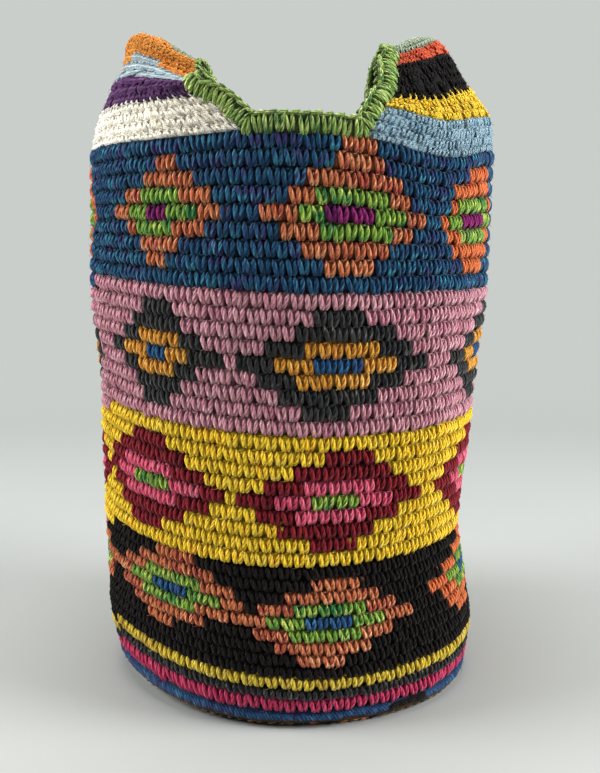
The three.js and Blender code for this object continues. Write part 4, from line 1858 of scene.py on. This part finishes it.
    def _stripe(self, number: int, stripe: Stripe, rack: YarnRack) -> None:
        """Make one stripe.

        Args:
            number: Its number from the left.
            stripe: The stripe.
            rack: Where the yarns come from.
        """
        piece = Fabric(f"crochet_{stripe.node}")
        step = (stripe.end - stripe.start) / stripe.rounds
        for k in range(stripe.rounds):
            foot = stripe.start + k * step
            middle = self.at(np.array(foot + step / 2.0))
            front, back = middle[self.FRONT], middle[self.BACK]
            count = round((front + back) / self.stitch)
            width = (front + back) / count
            reach = (np.arange(count) + 0.5 + 0.8 * ((0.37 * k) % 1.0 - 0.5)) * width - back
            sign = -1.0 if stripe.downward else 1.0
            row = np.full(count, foot + step if stripe.downward else foot)
            yarn = stripe.yarn(reach / np.where(reach < 0.0, back, front), row + sign * step / 2.0)
            seed = Seed.STRAP + 50 * number + k
            loose = 1.0 if stripe.hidden else self.loose
            places = Stitches.placed(reach, row, sign * width, sign * step, yarn, seed, loose)
            surface = self.fan(front, back)
            for strand in self.crochet.bare() if stripe.hidden else self.crochet.ear(stripe.lit):
                piece.lay(strand, surface, places)
            if not stripe.hidden:
                piece.fuzz(self.crochet.wisps, surface, places)
            if stripe.spikes and k == (0 if stripe.downward else stripe.rounds - 1):
                places.nudge[:, 3] = -0.1 * sign
                piece.lay(self.crochet.spike, surface, places)
        self._backing(piece, stripe)
        piece.make(rack, [stripe.node])

    def _backing(self, piece: Fabric, stripe: Stripe) -> None:
        """Add the fabric under a stripe's strands.

        Args:
            piece: The stripe's piece.
            stripe: The stripe.
        """
        rows = 2 * stripe.rounds + 1
        u = np.linspace(stripe.start + 0.004, stripe.end - 0.004, rows)
        across = np.linspace(-0.99, 0.99, self.ACROSS)
        crest = np.arange(rows) % 2 == 1
        place = np.concatenate([across, across[::-1]])
        outside = np.arange(len(place)) < len(across)
        faces = [np.where(crest, *pair)[:, None] for pair in zip(self.CREST, self.GROOVE)]
        out = np.where(outside, *faces)
        line = u[:, None] + 0.0 * place
        grid = self.point(self.edge(place + 0.0 * line, line), line, out)
        # Painted shade of the stripe's backing, lighter outside by the stripe's lit.
        depth = np.where(outside, 0.75 * stripe.lit, 0.6)
        middle = (u[:-1] + u[1:])[:, None] / 2.0 + 0.0 * place
        shade = stripe.yarn(place + 0.0 * middle, middle)[:, ::-1]
        piece.backing(grid[:, ::-1], shade, depth[::-1], closed=False)


@dataclass
class Edging:
    """A row of stitches round one opening.

    Attributes:
        bucket: The bucket.
        strap: The strap.
        crochet: Strands of its stitches.
        front: Whether it is the front opening's.
        gap: Clearance to the fabric's edge.
        height: Its height over the fabric's edge.
        thick: Its thickness.
        stitch: Width of a stitch.
        folded: Share of the height that is left where the strap goes inside.
        loose: How uneven its stitches are, against the usual.
        NECK: Points along the neckline.
        EASED: How often the way out of the fabric is evened.
        ROUNDED: How often the line's corners are rounded.
        SIDES: Sides of the roll between its two faces.
    """

    bucket: Bucket
    strap: Strap
    crochet: Crochet
    front: bool
    gap: float = -0.8
    height: float = 9.6
    thick: float = 6.4
    stitch: float = 5.0
    folded: float = 0.3
    loose: float = 1.8

    NECK = 60
    EASED = 6
    ROUNDED = 8
    SIDES = 8

    def __post_init__(self) -> None:
        """Follow the fabric's edge."""
        line, out, share = self._evened(*self._edge())
        along = np.roll(line, -1, axis=0) - np.roll(line, 1, axis=0)
        along /= np.linalg.norm(along, axis=1, keepdims=True)
        away = out - along * np.sum(out * along, axis=1, keepdims=True)
        for _ in range(self.EASED):
            away = np.roll(away, 1, axis=0) + 2.0 * away + np.roll(away, -1, axis=0)
            away -= along * np.sum(away * along, axis=1, keepdims=True)
            away /= np.linalg.norm(away, axis=1, keepdims=True)
        self.line, self.away, self.share = line, away, share
        self.through = np.cross(along, away)

    def _edge(self) -> tuple[Array, Array, Array]:
        """Follow the neckline and the strap's edge.

        Returns:
            Points of the line, the way out of the fabric and the share of the height at each.
        """
        side = 0 if self.front else 1
        radius = self.bucket.radii[-1]
        left = self.strap.left_foot[side] / radius - np.pi / 2.0
        right = np.pi / 2.0 - self.strap.right_foot[side] / radius
        turn = np.linspace(left, right, self.NECK)
        turn = turn if self.front else np.pi - turn
        rise = np.full(self.NECK, float(self.bucket.rounds))
        middle = np.full(self.NECK, -self.bucket.fabric / 2.0)
        neck = self.bucket.point(turn, rise, middle)
        below = self.bucket.point(turn, rise - 0.2, middle)
        u = np.linspace(self.strap.last, 0.0, 801)[1:-1]
        rim = self.strap.edge(np.full(len(u), 1.0 if self.front else -1.0), u)
        middle = np.full(len(u), -self.bucket.fabric / 2.0)
        line = self.strap.point(rim, u, middle)
        within = self.strap.point(0.98 * rim, u, middle)
        out = np.concatenate([neck - below, line - within])
        low = np.interp(u, [2.6, 3.3, 15.0, 15.8], [1.0, self.folded, self.folded, 1.0])
        share = np.concatenate([np.ones(self.NECK), low])
        return np.concatenate([neck, line]), out / np.linalg.norm(out, axis=1, keepdims=True), share

    def _evened(self, line: Array, out: Array, share: Array) -> tuple[Array, Array, Array]:
        """Space points evenly along a closed line and round its corners.

        Args:
            line: Points of the line.
            out: A direction at each.
            share: Share of the edging's height at each.

        Returns:
            The evened points, directions and shares.
        """
        closed = np.vstack([line, line[:1]])
        length = np.concatenate([[0.0], np.cumsum(np.linalg.norm(np.diff(closed, axis=0), axis=1))])
        self.length = length[-1]
        place = np.arange(int(self.length)) * self.length / int(self.length)
        both = np.hstack([closed, np.vstack([out, out[:1]]), np.append(share, share[0])[:, None]])
        even = np.stack([np.interp(place, length, both[:, k]) for k in range(7)], axis=1)
        for _ in range(self.ROUNDED):
            even = (np.roll(even, 1, axis=0) + 2.0 * even + np.roll(even, -1, axis=0)) / 4.0
        return even[:, :3], even[:, 3:6], even[:, 6:]

    def point(self, along: Array, up: Array, out: Array) -> Array:
        """Place on the edging.

        Args:
            along: Distance along the fabric's edge.
            up: From 0 at the fabric's edge to 1 at the top.
            out: Distance towards the outer face from the edging's middle.

        Returns:
            The place.
        """
        count = len(self.line)
        spot = np.mod(along / self.length, 1.0) * count
        low = np.floor(spot).astype(int) % count
        share = (spot - np.floor(spot))[..., None]
        parts = []
        for values in (self.line, self.away, self.through, self.share):
            parts.append(values[low] * (1.0 - share) + values[(low + 1) % count] * share)
        line, away, through, height = parts
        rise = self.gap + np.asarray(up)[..., None] * self.height * height
        return line + away * rise + through * np.asarray(out)[..., None]

    def outer(self, along: Array, up: Array, out: Array) -> Array:
        """Place on the outer face, with out from that face."""
        return self.point(along, up, out + self.thick / 2.0)

    def inner(self, along: Array, up: Array, out: Array) -> Array:
        """Place on the inner face, with along running the other way."""
        return self.point(-along, up, -out - self.thick / 2.0)

    def build(self, rack: YarnRack) -> None:
        """Make the edging.

        Args:
            rack: Where the yarns come from.
        """
        name = "front_edging" if self.front else "back_edging"
        piece = Fabric(f"crochet_{name}")
        count = round(self.length / self.stitch)
        width = self.length / count
        place = np.arange(count) * width
        seed = Seed.FRONT_EDGING if self.front else Seed.BACK_EDGING
        for face, surface in enumerate((self.outer, self.inner)):
            sunk = np.full(count, -0.04)
            row = Stitches.placed(place, sunk, width, 0.9, Shade.LEAF, seed + face, self.loose)
            for strand in self.crochet.plain():
                piece.lay(strand, surface, row)
            piece.fuzz(self.crochet.wisps, surface, row)
            top = Stitches.placed(place, np.full(count, 0.62), width, 0.5, Shade.LEAF, seed + 2 + face)
            piece.lay(self.crochet.chain, surface, top)
        self._backing(piece)
        piece.make(rack, [name])

    def _backing(self, piece: Fabric) -> None:
        """Add the roll of fabric between the two faces.

        Args:
            piece: The edging.
        """
        columns = round(self.length / 2.5)
        along = np.arange(columns) * self.length / columns
        turn = np.arange(self.SIDES) * 2.0 * np.pi / self.SIDES
        up = 0.40 - 0.52 * np.cos(turn)
        out = 1.7 * np.sin(turn)
        grid = self.point(*np.broadcast_arrays(along[:, None], up, out))
        shade = np.full((columns, self.SIDES), int(Shade.LEAF))
        # Painted shade: the roll between the edging's faces is painted near its darkest.
        piece.backing(grid, shade, np.full(self.SIDES, 0.1), closed=True)


@dataclass(frozen=True)
class Lamp:
    """One soft lamp, in metres.

    Attributes:
        name: Its name.
        place: Where it hangs.
        size: Its diameter.
        power: Its power in watts.
        AIM: The bag's middle.
    """

    name: str
    place: Spot
    size: float
    power: float

    AIM = (0.0, 0.0, 0.17)

    def hang(self) -> None:
        """Hang it and turn it towards the bag's middle."""
        light = bpy.data.lights.new(self.name, "AREA")
        light.shape = "DISK"
        light.size = self.size
        light.energy = self.power
        holder = bpy.data.objects.new(self.name, light)
        holder.location = self.place
        x, y, z = np.array(self.AIM) - np.array(self.place)
        tilt = math.atan2(math.hypot(x, y), -z)
        holder.rotation_euler = (tilt, 0.0, math.atan2(y, x) - math.pi / 2.0)
        bpy.context.scene.collection.objects.link(holder)


@dataclass
class Studio:
    """Floor, light and camera.

    Attributes:
        distance: Distance of the camera from the bag's axis.
        eye: Height of the camera.
        pitch: How far it looks down, in radians.
        focal: Focal length in pixels of a picture 600 wide.
        aside: How far left of the picture's middle the axis lies, in pixels.
        picture: Width and height of the picture, in pixels.
        paper: Colour of the floor.
        backdrop: Colour that the far floor and the room are seen in.
        fade: Distances in metres over which the floor turns into the backdrop.
        fill: Strength of the light from the room.
        lamps: The lamps.
    """

    distance: float = 552.1
    eye: float = 242.7
    pitch: float = 0.151
    focal: float = 962.3
    aside: float = 12.0
    picture: tuple[int, int] = (600, 773)
    paper: Rgb = (173, 176, 173)
    backdrop: Rgb = (201, 206, 203)
    fade: tuple[float, float] = (0.42, 1.15)
    fill: float = 0.08
    lamps: tuple[Lamp, ...] = (
        Lamp("left", (-1.36, -0.2, 0.92), 0.9, 25.0),
        Lamp("right", (1.32, -0.36, 0.85), 0.9, 29.0),
        Lamp("top", (-0.1, -0.05, 1.7), 1.0, 18.0),
    )

    def build(self) -> None:
        """Set up the floor, the light and the camera."""
        self._floor()
        self._light()
        self._camera()

    def _camera(self) -> None:
        """Place the camera at the photograph's view."""
        lens = bpy.data.cameras.new("camera")
        lens.sensor_fit = "HORIZONTAL"
        lens.sensor_width = 36.0
        lens.lens = self.focal / self.picture[0] * lens.sensor_width
        lens.shift_x = self.aside / self.picture[0]
        lens.clip_start = 0.01
        camera = bpy.data.objects.new("camera", lens)
        camera.location = (0.0, -self.distance * MM, self.eye * MM)
        camera.rotation_euler = (math.pi / 2.0 - self.pitch, 0.0, 0.0)
        bpy.context.scene.collection.objects.link(camera)
        bpy.context.scene.camera = camera

    def _floor(self) -> None:
        """Lay a pale floor that sweeps up behind the bag."""
        mesh = bpy.data.meshes.new("floor")
        bend = [(-3.0, 0.0), (0.7, 0.0)]
        for k in range(1, 13):
            angle = k / 12.0 * math.pi / 2.0
            bend.append((0.7 + 0.5 * math.sin(angle), 0.5 - 0.5 * math.cos(angle)))
        bend.append((1.2, 3.0))
        points = [(x, y, z) for y, z in bend for x in (-4.0, 4.0)]
        faces = [(2 * k, 2 * k + 1, 2 * k + 3, 2 * k + 2) for k in range(len(bend) - 1)]
        mesh.from_pydata(points, [], faces)
        mesh.polygons.foreach_set("use_smooth", [True] * len(faces))
        floor = bpy.data.objects.new("floor", mesh)
        bpy.context.scene.collection.objects.link(floor)
        paper = bpy.data.materials.new("pale_paper")
        paper.use_nodes = True
        sheet = NodeSheet(paper.node_tree)
        near = sheet.add("ShaderNodeBsdfPrincipled", {"Base Color": linear(self.paper), "Roughness": 0.95})
        far = sheet.add("ShaderNodeEmission", {"Color": linear(self.backdrop)})
        place = sheet.add("ShaderNodeNewGeometry")
        reach = sheet.add("ShaderNodeVectorMath", {0: place.outputs["Position"]}, operation="LENGTH")
        ends = {"Value": reach.outputs["Value"], "From Min": self.fade[0], "From Max": self.fade[1]}
        fade = sheet.add("ShaderNodeMapRange", ends, interpolation_type="SMOOTHSTEP")
        sight = sheet.add("ShaderNodeLightPath").outputs["Is Camera Ray"]
        share = sheet.math("MULTIPLY", sight, fade.outputs["Result"])
        either = sheet.add("ShaderNodeMixShader", {0: share, 1: near.outputs[0], 2: far.outputs[0]})
        sheet.add("ShaderNodeOutputMaterial", {"Surface": either.outputs[0]})
        mesh.materials.append(paper)

    def _light(self) -> None:
        """Hang the lamps and fill the room with a little light."""
        for lamp in self.lamps:
            lamp.hang()
        world = bpy.data.worlds.new("room")
        world.use_nodes = True
        sheet = NodeSheet(world.node_tree)
        fill = sheet.add("ShaderNodeBackground", {"Color": (0.95, 0.98, 1.0, 1.0), "Strength": self.fill})
        seen = sheet.add("ShaderNodeBackground", {"Color": linear(self.backdrop)})
        sight = sheet.add("ShaderNodeLightPath").outputs["Is Camera Ray"]
        either = sheet.add("ShaderNodeMixShader", {0: sight, 1: fill.outputs[0], 2: seen.outputs[0]})
        sheet.add("ShaderNodeOutputWorld", {"Surface": either.outputs[0]})
        bpy.context.scene.world = world


def main() -> None:
    """Build the bag piece by piece, then the room round it."""
    logging.basicConfig(level=logging.INFO, format="%(message)s")
    bpy.context.scene.view_settings.view_transform = "Standard"
    rack = YarnRack()
    crochet = Crochet(STITCH)
    bucket = Bucket(Stance(), crochet)
    bucket.build(rack)
    Base(bucket, crochet).build(rack)
    strap = Strap(bucket, crochet)
    strap.build(rack)
    Edging(bucket, strap, crochet, True).build(rack)
    Edging(bucket, strap, crochet, False).build(rack)
    Studio().build()
    bpy.context.view_layer.update()


if __name__ == "__main__":
    main()
